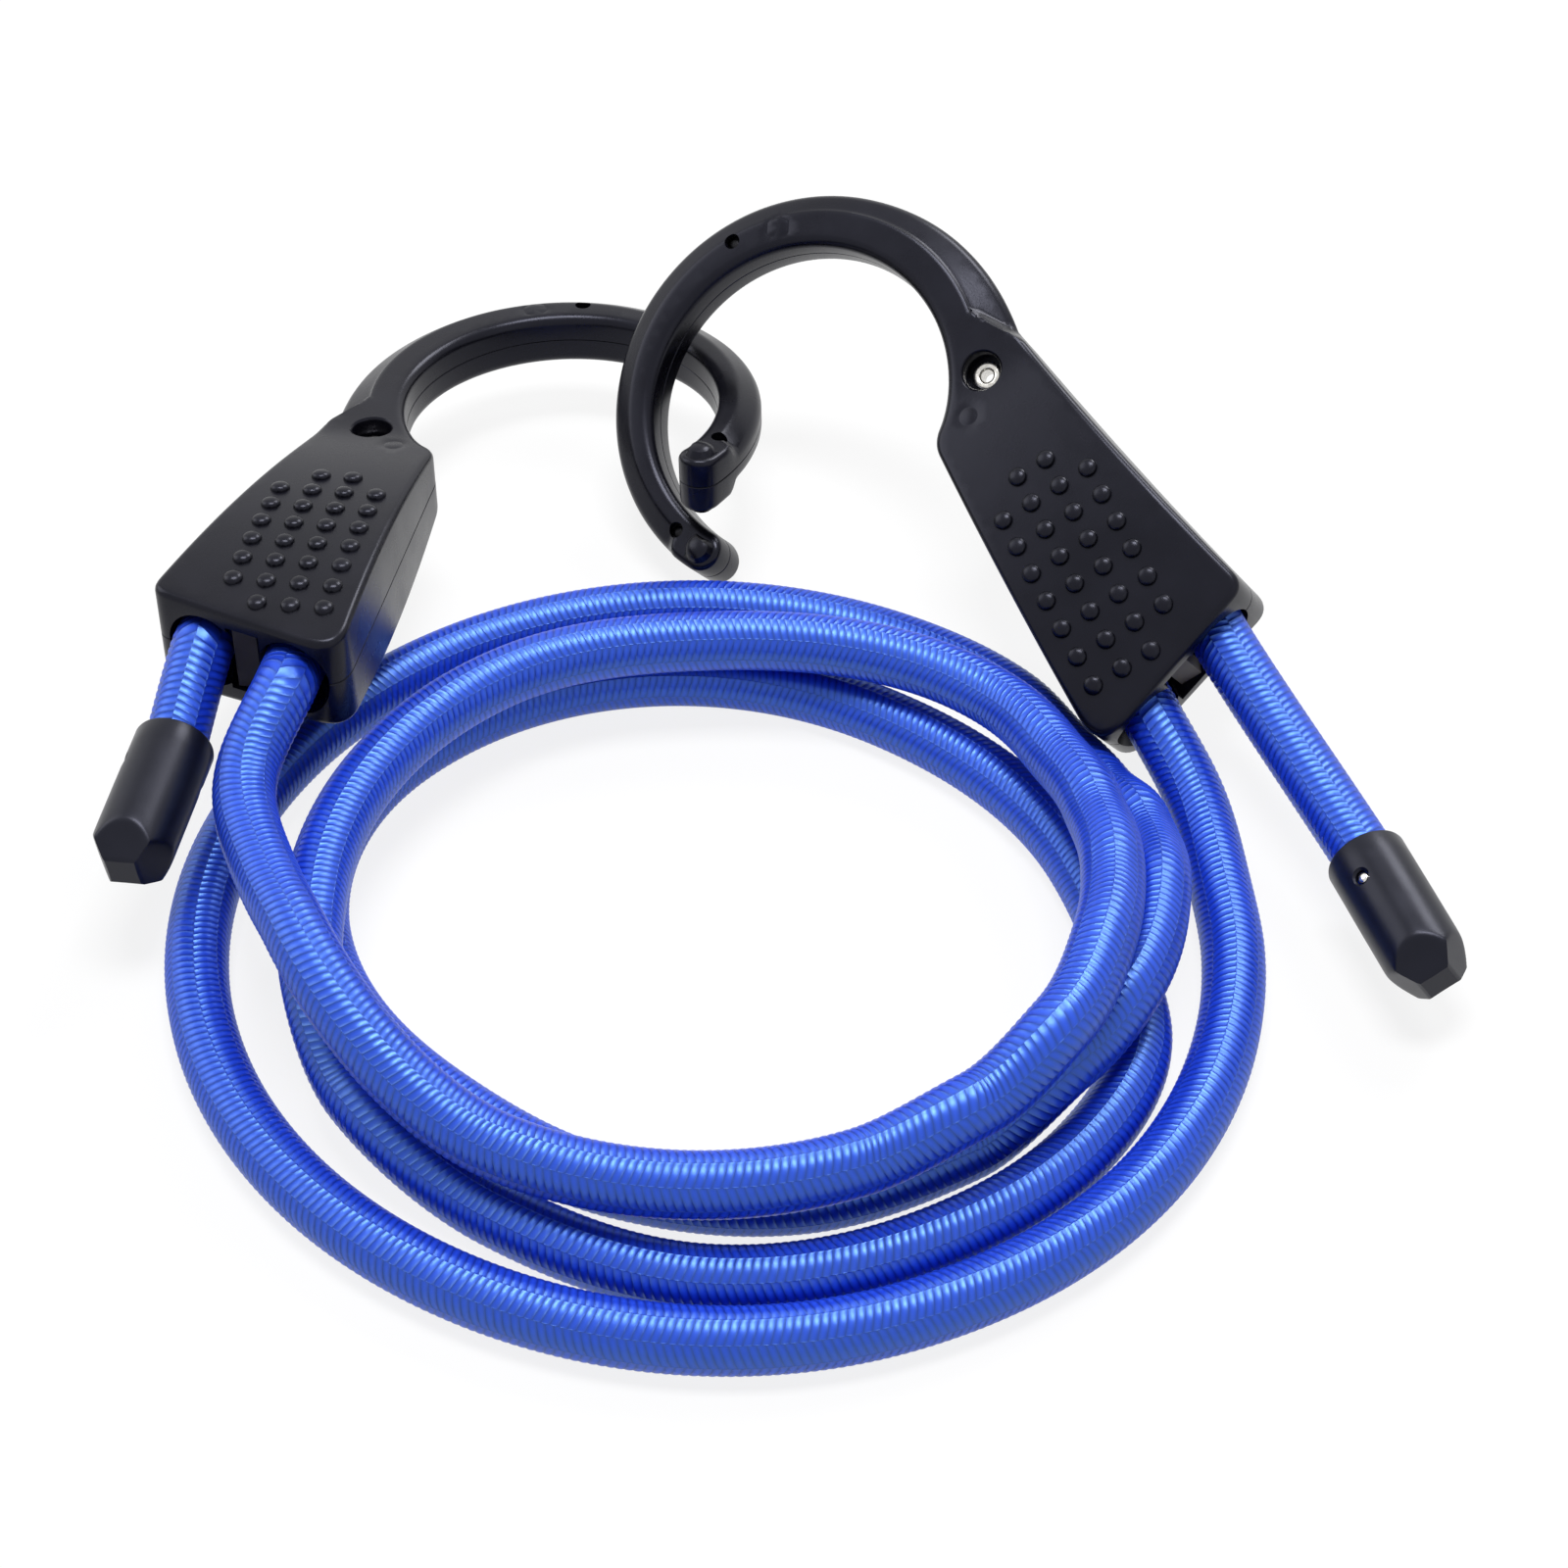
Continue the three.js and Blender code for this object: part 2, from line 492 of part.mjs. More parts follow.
// The coil's reach and layer at an angle: the reach runs smoothly through the keys, the layer eases between.
function coilAt(degrees) {
  let k = 0;
  while (k < COIL_KEYS.length - 2 && degrees > COIL_KEYS[k + 1][0]) k++;
  const [a0, r0, l0] = COIL_KEYS[k];
  const [a1, r1, l1] = COIL_KEYS[k + 1];
  const slope = (i) => {
    const before = COIL_KEYS[Math.max(i - 1, 0)];
    const after = COIL_KEYS[Math.min(i + 1, COIL_KEYS.length - 1)];
    return (after[1] - before[1]) / (after[0] - before[0]);
  };
  const span = a1 - a0;
  const t = (degrees - a0) / span;
  const ease = t * t * (3 - 2 * t);
  const reach =
    r0 + (r1 - r0) * ease + span * t * (1 - t) * (slope(k) * (1 - t) - slope(k + 1) * t);
  return { reach, layer: l0 + (l1 - l0) * ease };
}

// The centre line of the coil's strands, with a straight run of one diameter at each end.
function coilLine() {
  const first = COIL_KEYS[0][0];
  const last = COIL_KEYS[COIL_KEYS.length - 1][0];
  const count = Math.round(((last - first) / 360) * COIL_STEPS);
  const points = [];
  for (let i = 0; i <= count; i++) {
    const degrees = first + ((last - first) * i) / count;
    const { reach, layer } = coilAt(degrees);
    const x = reach * Math.cos(rad(degrees));
    const y = reach * Math.sin(rad(degrees));
    points.push(new THREE.Vector3(x, y, CORD_RADIUS - CORD_FOOT + layer * LAYER));
  }
  const before = points[0].clone().sub(points[1]).setLength(CORD_DIAMETER).add(points[0]);
  const end = points[points.length - 1];
  const after = end.clone().sub(points[points.length - 2]).setLength(CORD_DIAMETER).add(end);
  return [before, ...points, after];
}

// The least air between strands of the coil that are not neighbours along it, measured on finer points.
function leastGap(line) {
  const fine = new THREE.CatmullRomCurve3(line).getPoints(line.length * 4);
  const skip = Math.ceil((fine.length / line.length) * (COIL_STEPS / 3));
  let least = Infinity;
  for (let i = 0; i < fine.length; i++) {
    for (let j = i + skip; j < fine.length; j++) {
      least = Math.min(least, fine[i].distanceTo(fine[j]));
    }
  }
  return least - CORD_DIAMETER;
}

// A stretch of cord with what would lie below the table taken off.
function onTable(geometry) {
  const table = new THREE.BoxGeometry(2 * FAR, 2 * FAR, FAR).translate(0, 0, -FAR / 2);
  return geometryOf(solid(geometry).subtract(solid(table)));
}

// The coil as one unbroken tube with level flats, cut flat where it lies on the table.
function coilGeometry(line) {
  const up = new THREE.Vector3(0, 0, 1);
  const places = [];
  const faces = [];
  line.forEach((point, i) => {
    const along = line[Math.min(i + 1, line.length - 1)].clone().sub(line[Math.max(i - 1, 0)]).normalize();
    const side = along.clone().cross(up).normalize();
    const top = side.clone().cross(along);
    for (let k = 0; k < COIL_SIDES; k++) {
      const angle = (2 * Math.PI * k) / COIL_SIDES;
      const corner = point.clone();
      corner.addScaledVector(side, CORD_RADIUS * Math.cos(angle));
      corner.addScaledVector(top, CORD_RADIUS * Math.sin(angle));
      places.push(corner.x, corner.y, corner.z);
    }
  });
  const ring = (i, k) => i * COIL_SIDES + (k % COIL_SIDES);
  for (let i = 0; i < line.length - 1; i++) {
    for (let k = 0; k < COIL_SIDES; k++) {
      faces.push(ring(i, k), ring(i + 1, k), ring(i, k + 1));
      faces.push(ring(i, k + 1), ring(i + 1, k), ring(i + 1, k + 1));
    }
  }
  for (let k = 1; k < COIL_SIDES - 1; k++) {
    faces.push(ring(0, 0), ring(0, k), ring(0, k + 1));
    faces.push(ring(line.length - 1, 0), ring(line.length - 1, k + 1), ring(line.length - 1, k));
  }
  const geometry = new THREE.BufferGeometry();
  geometry.setAttribute("position", new THREE.Float32BufferAttribute(places, 3));
  geometry.setIndex(faces);
  return onTable(geometry);
}

// A lead from a hook's turn out of its mouth to an end of the coil, whose last run points along the coil.
function makeLead(side, hook, coilEnd, coilNext) {
  const inHook = (y) => hook.localToWorld(new THREE.Vector3(LIVE_LANE_X, y, 0));
  const mouth = mouthY(LIVE_LANE_X);
  const along = coilEnd.clone().sub(coilNext).normalize();
  const route = [
    inHook(LANE_TOP - TURN_LEG - TOUCH_GAP),
    inHook((LANE_TOP + mouth) / 2),
    inHook(mouth),
    inHook(mouth - LEAD_STRAIGHT),
    coilEnd.clone().addScaledVector(along, CORD_RADIUS),
    coilEnd.clone().addScaledVector(along, TOUCH_GAP),
  ];
  const curve = new THREE.CatmullRomCurve3(route);
  return namedMesh(`${side}_lead_cord`, onTable(tube(curve, CORD_RADIUS, 14)), BLUE_BRAID);
}

const hookParts = {
  half: hookHalf(),
  rivet: rivet(),
  pin: armPin(),
  cleat: cleatBlock(),
  turn: tube(turnCurve(), CORD_RADIUS, 10),
};
const leftHook = makeHook("left", hookParts);
placeHook(leftHook, LEFT_HOOK);
const rightHook = makeHook("right", hookParts);
placeHook(rightHook, RIGHT_HOOK);
const rightLowest = new THREE.Box3().setFromObject(rightHook, true).min.z;
placeHook(rightHook, { ...RIGHT_HOOK, z: -rightLowest });

const coil = coilLine();
console.log(`least gap between the coil's strands: ${leastGap(coil).toFixed(2)} mm`);

const bungee = new THREE.Group();
bungee.add(leftHook, rightHook);
bungee.add(namedMesh("cord_coil", coilGeometry(coil), BLUE_BRAID));
bungee.add(makeLead("left", leftHook, coil[0], coil[1]));
bungee.add(makeLead("right", rightHook, coil[coil.length - 1], coil[coil.length - 2]));
bungee.add(makeTail("left", leftHook, LEFT_TAIL));
bungee.add(makeTail("right", rightHook, RIGHT_TAIL));

// The part's origin lies on the table, under the middle of the box round both hooks.
const hooksBox = new THREE.Box3().setFromObject(leftHook, true);
hooksBox.union(new THREE.Box3().setFromObject(rightHook, true));
const middle = hooksBox.getCenter(new THREE.Vector3());
bungee.position.set(-middle.x, -middle.y, 0);
console.log(`the coil's centre lies at ${(-middle.x).toFixed(2)}, ${(-middle.y).toFixed(2)} mm`);

export default bungee;
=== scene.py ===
import math

import bpy
import numpy as np
from mathutils import Euler, Matrix, Vector
from mathutils.geometry import delaunay_2d_cdt
from mathutils.kdtree import KDTree


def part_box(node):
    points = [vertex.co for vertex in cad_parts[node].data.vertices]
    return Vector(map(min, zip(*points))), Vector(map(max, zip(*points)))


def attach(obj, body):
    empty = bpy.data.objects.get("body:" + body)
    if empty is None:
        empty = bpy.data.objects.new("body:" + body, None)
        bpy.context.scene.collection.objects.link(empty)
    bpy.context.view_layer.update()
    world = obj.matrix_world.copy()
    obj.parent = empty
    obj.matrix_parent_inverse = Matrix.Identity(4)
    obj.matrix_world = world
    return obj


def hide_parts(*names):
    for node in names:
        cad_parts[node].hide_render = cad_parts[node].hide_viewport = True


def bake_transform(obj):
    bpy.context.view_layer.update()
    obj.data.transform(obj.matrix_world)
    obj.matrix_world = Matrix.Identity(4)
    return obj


# An adjustable bungee cord: a coiled blue braided elastic cord with a riveted black hook at each end.
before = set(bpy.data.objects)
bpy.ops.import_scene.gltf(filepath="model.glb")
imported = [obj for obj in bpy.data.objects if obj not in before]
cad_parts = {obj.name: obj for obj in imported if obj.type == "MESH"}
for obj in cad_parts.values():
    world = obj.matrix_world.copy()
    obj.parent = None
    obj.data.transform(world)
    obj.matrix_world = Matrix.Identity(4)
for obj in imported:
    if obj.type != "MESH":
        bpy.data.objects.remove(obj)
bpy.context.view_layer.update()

MM = 0.001

# The cord, in millimetres as are all sizes below.
CORD_RADIUS = 5
CORD_FOOT = 1
LAYER = 10.7
TOUCH_GAP = 0.3
TABLE_CLEARANCE = 0.2
LINE_STEP = 1.0
MEET_REACH = 25         # over which a bend is spread where two stretches of cord meet
TAIL_EASE = 6           # from a tail's mouth and rim to where its bends are spread in full
SOFTENING_ROUNDS = 150
BRAID_COLUMNS = 8       # columns of floats round the cord
SIDES_PER_COLUMN = 4
STITCH = 1.25           # from float to float along a column
RINGS_PER_STITCH = 4
SQUARE_STITCHES = 3     # over which the rings come square towards the ends of a stretch
FLOAT_LEAN = 0.9        # stitches that a float leans by across its column
FLOAT_END = 0.2         # how soon a float dips at its ends, 1 for a round arch
FLOAT_RISE = 0.12
FLOAT_RELIEF = 0.18     # height of a float in the gloss, more than its rise so that it shows
PATCH_WIDTH = 9         # of the patches in which colour and gloss vary

# A hook, seen on its front face: x to its outer side, y to the arch, the rivet at the origin.
LIVE_LANE_X = -3.5
TAIL_LANE_X = 12.5
LANE_RADIUS = 5.5
LANE_TOP = -49
TURN_LEG = 0.3
MOUTH_FLARE = ((7.4, -14), (7.0, -1.6), (6.3, 0.6), (5.7, 2.2), (LANE_RADIUS, 4))  # radius, way in
INNER_SIDE_X = -13
OUTER_SIDE_X = 21
BODY_HALF = 9.8
CROWN_RADIUS = 163
CROWN_TOP = -43
CROWN_BLEND = 0.5
MOUTH_INNER_Y = -69.4
MOUTH_OUTER_Y = -58.2
INNER_CORNER = 7
OUTER_CORNER = 3
SHOULDER_CORNER = 3
HALF_FLOOR = 0.04
OUTER_HOLLOW = 0.6
ARM_HALF = 4.7
ARM_BEVEL = 3.9
ARM_EDGE = 1.1
BEVEL_STOP = -9
BEVEL_STOP_TURN = -59
BEVEL_TIP_PLATE = 1.5
BEVEL_EASE = 1.6
RIDGE_BLEND = 0.12
SLOPE_LIP = 0.45        # step at the head of the slope, beside the neck
SLOPE_LIP_WIDTH = 0.5
LIP_SPAN = (-40, 120)   # degrees round the arm
LIP_FADE = (25, 60)     # where the step begins to fade out, and over how many degrees
ARM_OUTER = Vector((-28.8, 15))
ARM_OUTER_RADIUS = 35.9
ARM_INNER = Vector((-30.1, 14.5))
ARM_INNER_RADIUS = 27.15
ARM_START = -16
NECK_FULLNESS = 2.4
NECK_TURN = 45
NECK_REACH = 20.4
ARM_END = 208
EDGE_RADIUS = 1.1
THROAT_EDGE_RADIUS = 1.8
SEAM_CHAMFER = 0.12
SEAM_INSET = 0.1

# What stands on a hook's face or is sunk into it.
DOT_PITCH = 5.45
DOT_RADIUS = 1.65
DOT_HEIGHT = 1.0
DOT_ROUND = 2.4         # 2 for a half ball, more for a steeper side
DOT_FIELD_Y = -40.5
DOT_COLUMNS = ((2, 8), (1, 8), (1, 8), (2, 7))      # first and last row of each column
DOT_MIDDLE = (1.5, 4.5)                             # column and row in the middle of the field
PIP_RADIUS = 2.6
PIP_HEIGHT = 1.56
PIP_ROUND = 2.2
KNOB_RINGS = (0.3, 0.55, 0.75, 0.88, 0.96, 1.0, 1.1)
KNOB_SIDES = 16
MARKS = ((Vector((-19, 43.5)), 2.3, 6), (Vector((-5.5, -6.3)), 1.7, 0))     # place, radius, corners
MARK_GROOVE = ((-0.4, 0), (-0.12, 0.08), (0.12, 0.08), (0.4, 0))            # from its ring, depth
MARK_SIDES = 24
FACE_INSET = 0.35       # from the rounded edge to where these may lie
FACE_GRID = 1.5

# What is inside a hook.
PIN_ANGLES = {"arm_pin": 86, "tip_pin": 197}
PIN_RADIUS = 1.1
PIN_RECESS = 1.3
PIN_END = 0.35          # height of the round end of a pin
RIVET_RADIUS = 1.9
RIVET_BORE = 1.1
RIVET_HEAD_RADIUS = 2.6
RIVET_HEAD = 0.9
RIVET_WELL_RADIUS = 3.3
RIVET_WELL_RIM = ((0, 4.3), (0.15, 4.6), (0.5, 4.95))   # how much wider, at what height
RIVET_SEAT = 0.7
RIVET_ROLL_FOOT = 0.1
RIVET_ROLL_EDGE = 0.15
RIVET_ROLL_SHAPE = 0.7  # 1 for a round roll, less for a fuller one
CLEAT_WIDTH = 5.4
CLEAT_HEIGHT = 11
CUT_LOW = -9            # where the holes through a half begin and end
CUT_HIGH = 20
CUT_PAST = 10           # how far the room for the cleat runs out past the mouth

# A cap and its cross pin.
CAP_RADIUS = 6.45
CAP_LENGTH = 26.8
CAP_SOCKET = 15
CAP_NOSE = 5.5
CAP_NOSE_HALF = 2.6
CAP_SIDES = 96
CAP_ROW = 0.25          # between the rings of a cap's nose
CAP_FLAT_BLEND = 0.09
CAP_END_ROUND = 0.4
CAP_END_INSET = 0.25
CAP_PIN_RADIUS = 0.9
CAP_PIN_PLACE = 6.8
CAP_PIN_SINK = 0.45     # of a pin's ends below the barrel
CAP_PIN_LIP = 0.35      # width of the countersink round a pin's end

# Where the hooks lie (heading, pitch, roll in degrees), and the left rivet's place from the coil's centre.
LIE = {"left": (-9.42, -6.55, 177.96), "right": (27.07, 21.45, -34.25)}
LEFT_RIVET = Vector((-59.56, 99.85, 20.42))

# The rim and nose of each tail's cap, from the coil's centre, and how its flats and pin lie round its axis.
TAILS = {
    "left": (Vector((-84.9, 26.8, 20.5)), Vector((-89.9, 0.5, 18.7))),
    "right": (Vector((101.9, 10.4, 11.6)), Vector((110.2, -15.1, 10.9))),
}
CAP_ROLL = {"left": -6, "right": 49.5}
CAP_PIN_TURN = {"left": 152, "right": 104}
TAIL_STRAIGHT = 3
LEAD_STRAIGHT = 4

COIL_STEP = 0.75        # degrees
COIL_END_TURN = 15      # degrees that give the way in which the coil's ends run on
# The coil: degrees along its turns, reach from its centre, layers above the table.
COIL_KEYS = [
    (180, 68.5, 1.8), (196, 63.6, 1.97), (240, 58.6, 1.03), (292, 57.9, 1.06), (310, 60, 1.4),
    (326, 62, 1.88), (342, 61.3, 1.95), (358, 60.9, 1.75), (374, 60.9, 1.42), (390, 61.6, 1.15),
    (405, 62.9, 1), (450, 57.6, 1), (485, 59.8, 1), (540, 60.7, 1), (556, 62.1, 0.94), (574, 62.9, 0.42),
    (600, 61.9, 0), (630, 65.6, 0), (660, 67.4, 0), (682, 69.1, 0), (700, 68.7, 0), (716, 63.4, 0),
    (736, 60, 0), (780, 57.5, 0), (862, 65.3, 0), (890, 63.2, 0), (940, 51, 0), (975, 50.3, 0),
    (1005, 53.2, 0), (1032, 57, 0.1), (1050, 62.3, 0.82), (1063, 66, 1.04), (1080, 68.7, 1),
    (1097, 70.8, 0.46), (1108, 71.1, 0.06), (1118, 71.8, 0), (1128, 74.2, 0), (1146, 75.6, 0),
    (1210, 80, 0), (1252, 80.4, 0), (1320, 75.8, 0), (1372, 77.7, 0), (1408, 80.3, 0), (1450, 80.8, 0),
]

# The picture: the floor's own share of its white, the world's light, the camera from the coil's centre.
FLOOR_GLOW = 0.85
WORLD_LIGHT = 0.12
FLOOR_REACH = 3.0       # metres
CAMERA_PLACE = Vector((11.1, -374.3, 406))
CAMERA_TILT = 45.5
CAMERA_LENS = 81
CAMERA_SENSOR = 36


# Materials

def linear(code):
    """A colour written as an sRGB hex value, in linear light."""
    shares = [int(code[i:i + 2], 16) / 255 for i in (1, 3, 5)]
    return [c / 12.92 if c <= 0.04045 else ((c + 0.055) / 1.055) ** 2.4 for c in shares] + [1]


def add(tree, kind, settings=(), links=()):
    """Adds a shader node: settings are its properties, ramp stops or input values, links feed inputs."""
    node = tree.nodes.new("ShaderNode" + kind)
    for name, value in dict(settings).items():
        if name == "stops":
            ramp = node.color_ramp.elements
            while len(ramp) < len(value):
                ramp.new(0.5)
            for stop, (place, code) in zip(ramp, value):
                stop.position = place
                stop.color = linear(code)
        elif isinstance(name, int) or name in node.inputs:
            node.inputs[name].default_value = value
        else:
            setattr(node, name, value)
    for name, source in dict(links).items():
        tree.links.new(source, node.inputs[name])
    return node


def new_material(name):
    material = bpy.data.materials.new(name)
    material.use_nodes = True
    material.node_tree.nodes.clear()
    return material, material.node_tree


def close_material(tree, settings, links):
    shader = add(tree, "BsdfPrincipled", settings, links)
    add(tree, "OutputMaterial", links={"Surface": shader.outputs["BSDF"]})


def braided_nylon():
    """Elastic cord in a braided sleeve of filament nylon: satin floats that lean to and fro in columns,
    bright where they bow up to the light. Its colour holds painted shade: it darkens to deep blue from the
    floats' crests into the gaps between them. The filaments run more round the cord than along it, so the
    gloss spreads along the cord. They shine more than plain nylon does, so the IOR is higher. Colour and
    gloss vary a little in patches."""
    material, tree = new_material("braided_filament_nylon")
    place = add(tree, "UVMap")
    split = add(tree, "SeparateXYZ", links={0: place.outputs[0]})
    column = 2 * math.pi * CORD_RADIUS * MM / BRAID_COLUMNS
    columns = add(tree, "Math", {"operation": "MULTIPLY", 1: 1 / column}, {0: split.outputs[1]})
    lean = add(tree, "Math", {"operation": "PINGPONG", 1: 1.0}, {0: columns.outputs[0]})
    whole = add(tree, "Math", {"operation": "FLOOR"}, {0: columns.outputs[0]})
    odd = add(tree, "Math", {"operation": "PINGPONG", 1: 1.0}, {0: whole.outputs[0]})
    slant = add(tree, "Math", {"operation": "MULTIPLY", 1: FLOAT_LEAN}, {0: lean.outputs[0]})
    shift = add(tree, "Math", {"operation": "MULTIPLY_ADD", 1: 0.5},
                {0: odd.outputs[0], 2: slant.outputs[0]})
    phase = add(tree, "Math", {"operation": "MULTIPLY_ADD", 1: 1 / (STITCH * MM)},
                {0: split.outputs[0], 2: shift.outputs[0]})
    turn = add(tree, "Math", {"operation": "MULTIPLY", 1: math.pi}, {0: phase.outputs[0]})
    wave = add(tree, "Math", {"operation": "SINE"}, {0: turn.outputs[0]})
    yarn = add(tree, "Math", {"operation": "ABSOLUTE"}, {0: wave.outputs[0]})
    arch = add(tree, "Math", {"operation": "MULTIPLY", 1: math.pi}, {0: columns.outputs[0]})
    swing = add(tree, "Math", {"operation": "SINE"}, {0: arch.outputs[0]})
    bow = add(tree, "Math", {"operation": "ABSOLUTE"}, {0: swing.outputs[0]})
    float_end = add(tree, "Math", {"operation": "POWER", 1: FLOAT_END}, {0: bow.outputs[0]})
    height = add(tree, "Math", {"operation": "MULTIPLY"}, {0: yarn.outputs[0], 1: float_end.outputs[0]})
    patches = add(tree, "TexNoise", {"Scale": 1 / (PATCH_WIDTH * MM), "Detail": 3.0}, {0: place.outputs[0]})
    uneven = add(tree, "Math", {"operation": "MULTIPLY_ADD", 1: 0.3, 2: -0.15}, {0: patches.outputs[0]})
    # Painted shade: the colour darkens from the floats' crests into the gaps between them, and the patches
    # add a little random tone.
    painted_gap_shade_and_patches = add(tree, "Math", {"operation": "ADD"}, {0: height.outputs[0], 1: uneven.outputs[0]})
    colour = add(tree, "ValToRGB", {"stops": [(0.0, "#0c1e86"), (0.3, "#102ca8"), (1.0, "#1a3ed0")]},
                 {0: painted_gap_shade_and_patches.outputs[0]})
    gloss = add(tree, "MapRange", {1: 0.3, 2: 0.7, 3: 0.34, 4: 0.41}, {0: patches.outputs[0]})
    bump = add(tree, "Bump", {"Strength": 1.0, "Distance": FLOAT_RELIEF * MM},
               {"Height": height.outputs[0]})
    along = add(tree, "Tangent", {"direction_type": "UV_MAP", "uv_map": "UVMap"})
    close_material(
        tree,
        {"IOR": 1.9, "Specular IOR Level": 1.0, "Specular Tint": linear("#7eb2ff"), "Anisotropic": 0.3},
        {"Base Color": colour.outputs[0], "Roughness": gloss.outputs[0], "Normal": bump.outputs[0],
         "Tangent": along.outputs[0]},
    )
    return material


def moulded_plastic(name, dark, light, roughness, shine, grain):
    """Injection-moulded plastic: a fine even grain from the tool, and slightly cloudy gloss and colour. The
    grain is given in millimetres, coarser than the tool leaves it so that it shows."""
    material, tree = new_material(name)
    place = add(tree, "TexCoord")
    patches = add(tree, "TexNoise", {"Scale": 1 / (PATCH_WIDTH * MM), "Detail": 4.0},
                  {0: place.outputs["Object"]})
    colour = add(tree, "ValToRGB", {"stops": [(0.3, dark), (0.7, light)]}, {0: patches.outputs[0]})
    gloss = add(tree, "MapRange", {1: 0.3, 2: 0.7, 3: roughness - 0.04, 4: roughness + 0.05},
                {0: patches.outputs[0]})
    tool = add(tree, "TexNoise", {"Scale": 1 / (grain * MM), "Detail": 2.0}, {0: place.outputs["Object"]})
    bump = add(tree, "Bump", {"Strength": 0.12, "Distance": 0.06 * MM}, {"Height": tool.outputs[0]})
    close_material(
        tree,
        {"IOR": 1.5, "Specular IOR Level": shine, "Specular Tint": linear("#d8daf2")},
        {"Base Color": colour.outputs[0], "Roughness": gloss.outputs[0], "Normal": bump.outputs[0]},
    )
    return material


def turned_steel(name, dark, light, roughness):
    """Turned or headed steel under a thin finish: bright, with fine marks that break the gloss, drawn half
    a millimetre wide so that they show."""
    material, tree = new_material(name)
    place = add(tree, "TexCoord")
    marks = add(tree, "TexNoise", {"Scale": 1 / (0.5 * MM), "Detail": 5.0}, {0: place.outputs["Object"]})
    colour = add(tree, "ValToRGB", {"stops": [(0.3, dark), (0.7, light)]}, {0: marks.outputs[0]})
    gloss = add(tree, "MapRange", {1: 0.3, 2: 0.7, 3: roughness - 0.06, 4: roughness + 0.1},
                {0: marks.outputs[0]})
    links = {"Base Color": colour.outputs[0], "Roughness": gloss.outputs[0]}
    close_material(tree, {"Metallic": 1.0}, links)
    return material


BRAID = braided_nylon()
# Hard nylon straight from the tool: nearly black, with clear soft highlights along the rounded edges.
HOOK_PLASTIC = moulded_plastic("moulded_black_nylon", "#07070d", "#0d0d14", 0.27, 0.26, 0.5)
# The softer caps shine less, in one broad streak along the barrel.
CAP_PLASTIC = moulded_plastic("moulded_black_pvc", "#0a0b12", "#11121a", 0.34, 0.3, 0.35)
# The cleats are dull grey in the dark between the lanes.
CLEAT_PLASTIC = moulded_plastic("moulded_grey_nylon", "#37332f", "#48433f", 0.55, 0.3, 0.4)
# Plated rivets and cap pins glint, and the blackened dowels only show as darker ends in their holes.
NICKEL = turned_steel("nickel_plated_steel", "#b9b6b0", "#e2e0dc", 0.2)
BLACK_STEEL = turned_steel("blackened_steel", "#1b1b1d", "#2c2c2f", 0.4)


# Mesh tools

def piece(name, points, faces, material, flat_over=35, uvs=None):
    """A new mesh object from points in metres, smooth but for edges that turn by more than flat_over
    degrees."""
    mesh = bpy.data.meshes.new(name)
    mesh.from_pydata([tuple(p) for p in points], [], faces)
    mesh.validate()
    if uvs is not None:
        layer = mesh.uv_layers.new(name="UVMap")
        layer.data.foreach_set("uv", np.asarray(uvs, np.float32).ravel())
    mesh.shade_smooth()
    mesh.set_sharp_from_angle(angle=math.radians(flat_over))
    mesh.materials.append(material)
    made = bpy.data.objects.new(name, mesh)
    bpy.context.scene.collection.objects.link(made)
    return made


def turned(profile, sides):
    """Points and faces of a closed solid turned about z, from (radius, height) pairs that start and end
    on z, or that make a loop round a bore."""
    points, faces = [], []
    around = [(math.cos(2 * math.pi * k / sides), math.sin(2 * math.pi * k / sides)) for k in range(sides)]
    bore = profile[0] == profile[-1]
    rows = profile[:-1] if bore else profile
    index = []
    for radius, height in rows:
        if radius < 1e-9:
            index.append([len(points)] * sides)
            points.append((0, 0, height))
        else:
            index.append(list(range(len(points), len(points) + sides)))
            points += [(radius * x, radius * y, height) for x, y in around]
    for low, high in zip(index, index[1:] + index[:1] if bore else index[1:]):
        for k in range(sides):
            corners = [low[k], low[(k + 1) % sides], high[(k + 1) % sides], high[k]]
            face = list(dict.fromkeys(corners))
            if len(face) > 2:
                faces.append(face)
    return points, faces


def smooth_step(t):
    t = min(max(t, 0), 1)
    return t * t * (3 - 2 * t)


# The cord

def through(points, step):
    """Points a step apart on a smooth curve through a few given ones (centripetal Catmull-Rom)."""
    ends = [2 * points[0] - points[1], *points, 2 * points[-1] - points[-2]]
    steps = 40
    fine = []
    for p0, p1, p2, p3 in zip(ends, ends[1:], ends[2:], ends[3:]):
        d0, d1, d2 = (max((b - a).length ** 0.5, 1e-4) for a, b in ((p0, p1), (p1, p2), (p2, p3)))
        t1 = ((p1 - p0) / d0 - (p2 - p0) / (d0 + d1) + (p2 - p1) / d1) * d1
        t2 = ((p2 - p1) / d1 - (p3 - p1) / (d1 + d2) + (p3 - p2) / d2) * d1
        square, cube = 3 * (p2 - p1) - 2 * t1 - t2, 2 * (p1 - p2) + t1 + t2
        for t in (i / steps for i in range(steps)):
            fine.append(p1 + t1 * t + square * t ** 2 + cube * t ** 3)
    return spaced([*fine, points[-1]], step)


def spaced(line, step):
    """The same line with points about a step apart, ends included."""
    line = np.array(line)
    runs = np.concatenate([[0], np.cumsum(np.linalg.norm(np.diff(line, axis=0), axis=1))])
    wanted = np.linspace(0, runs[-1], max(2, round(runs[-1] / step)) + 1)
    return np.stack([np.interp(wanted, runs, line[:, k]) for k in range(3)], axis=1)


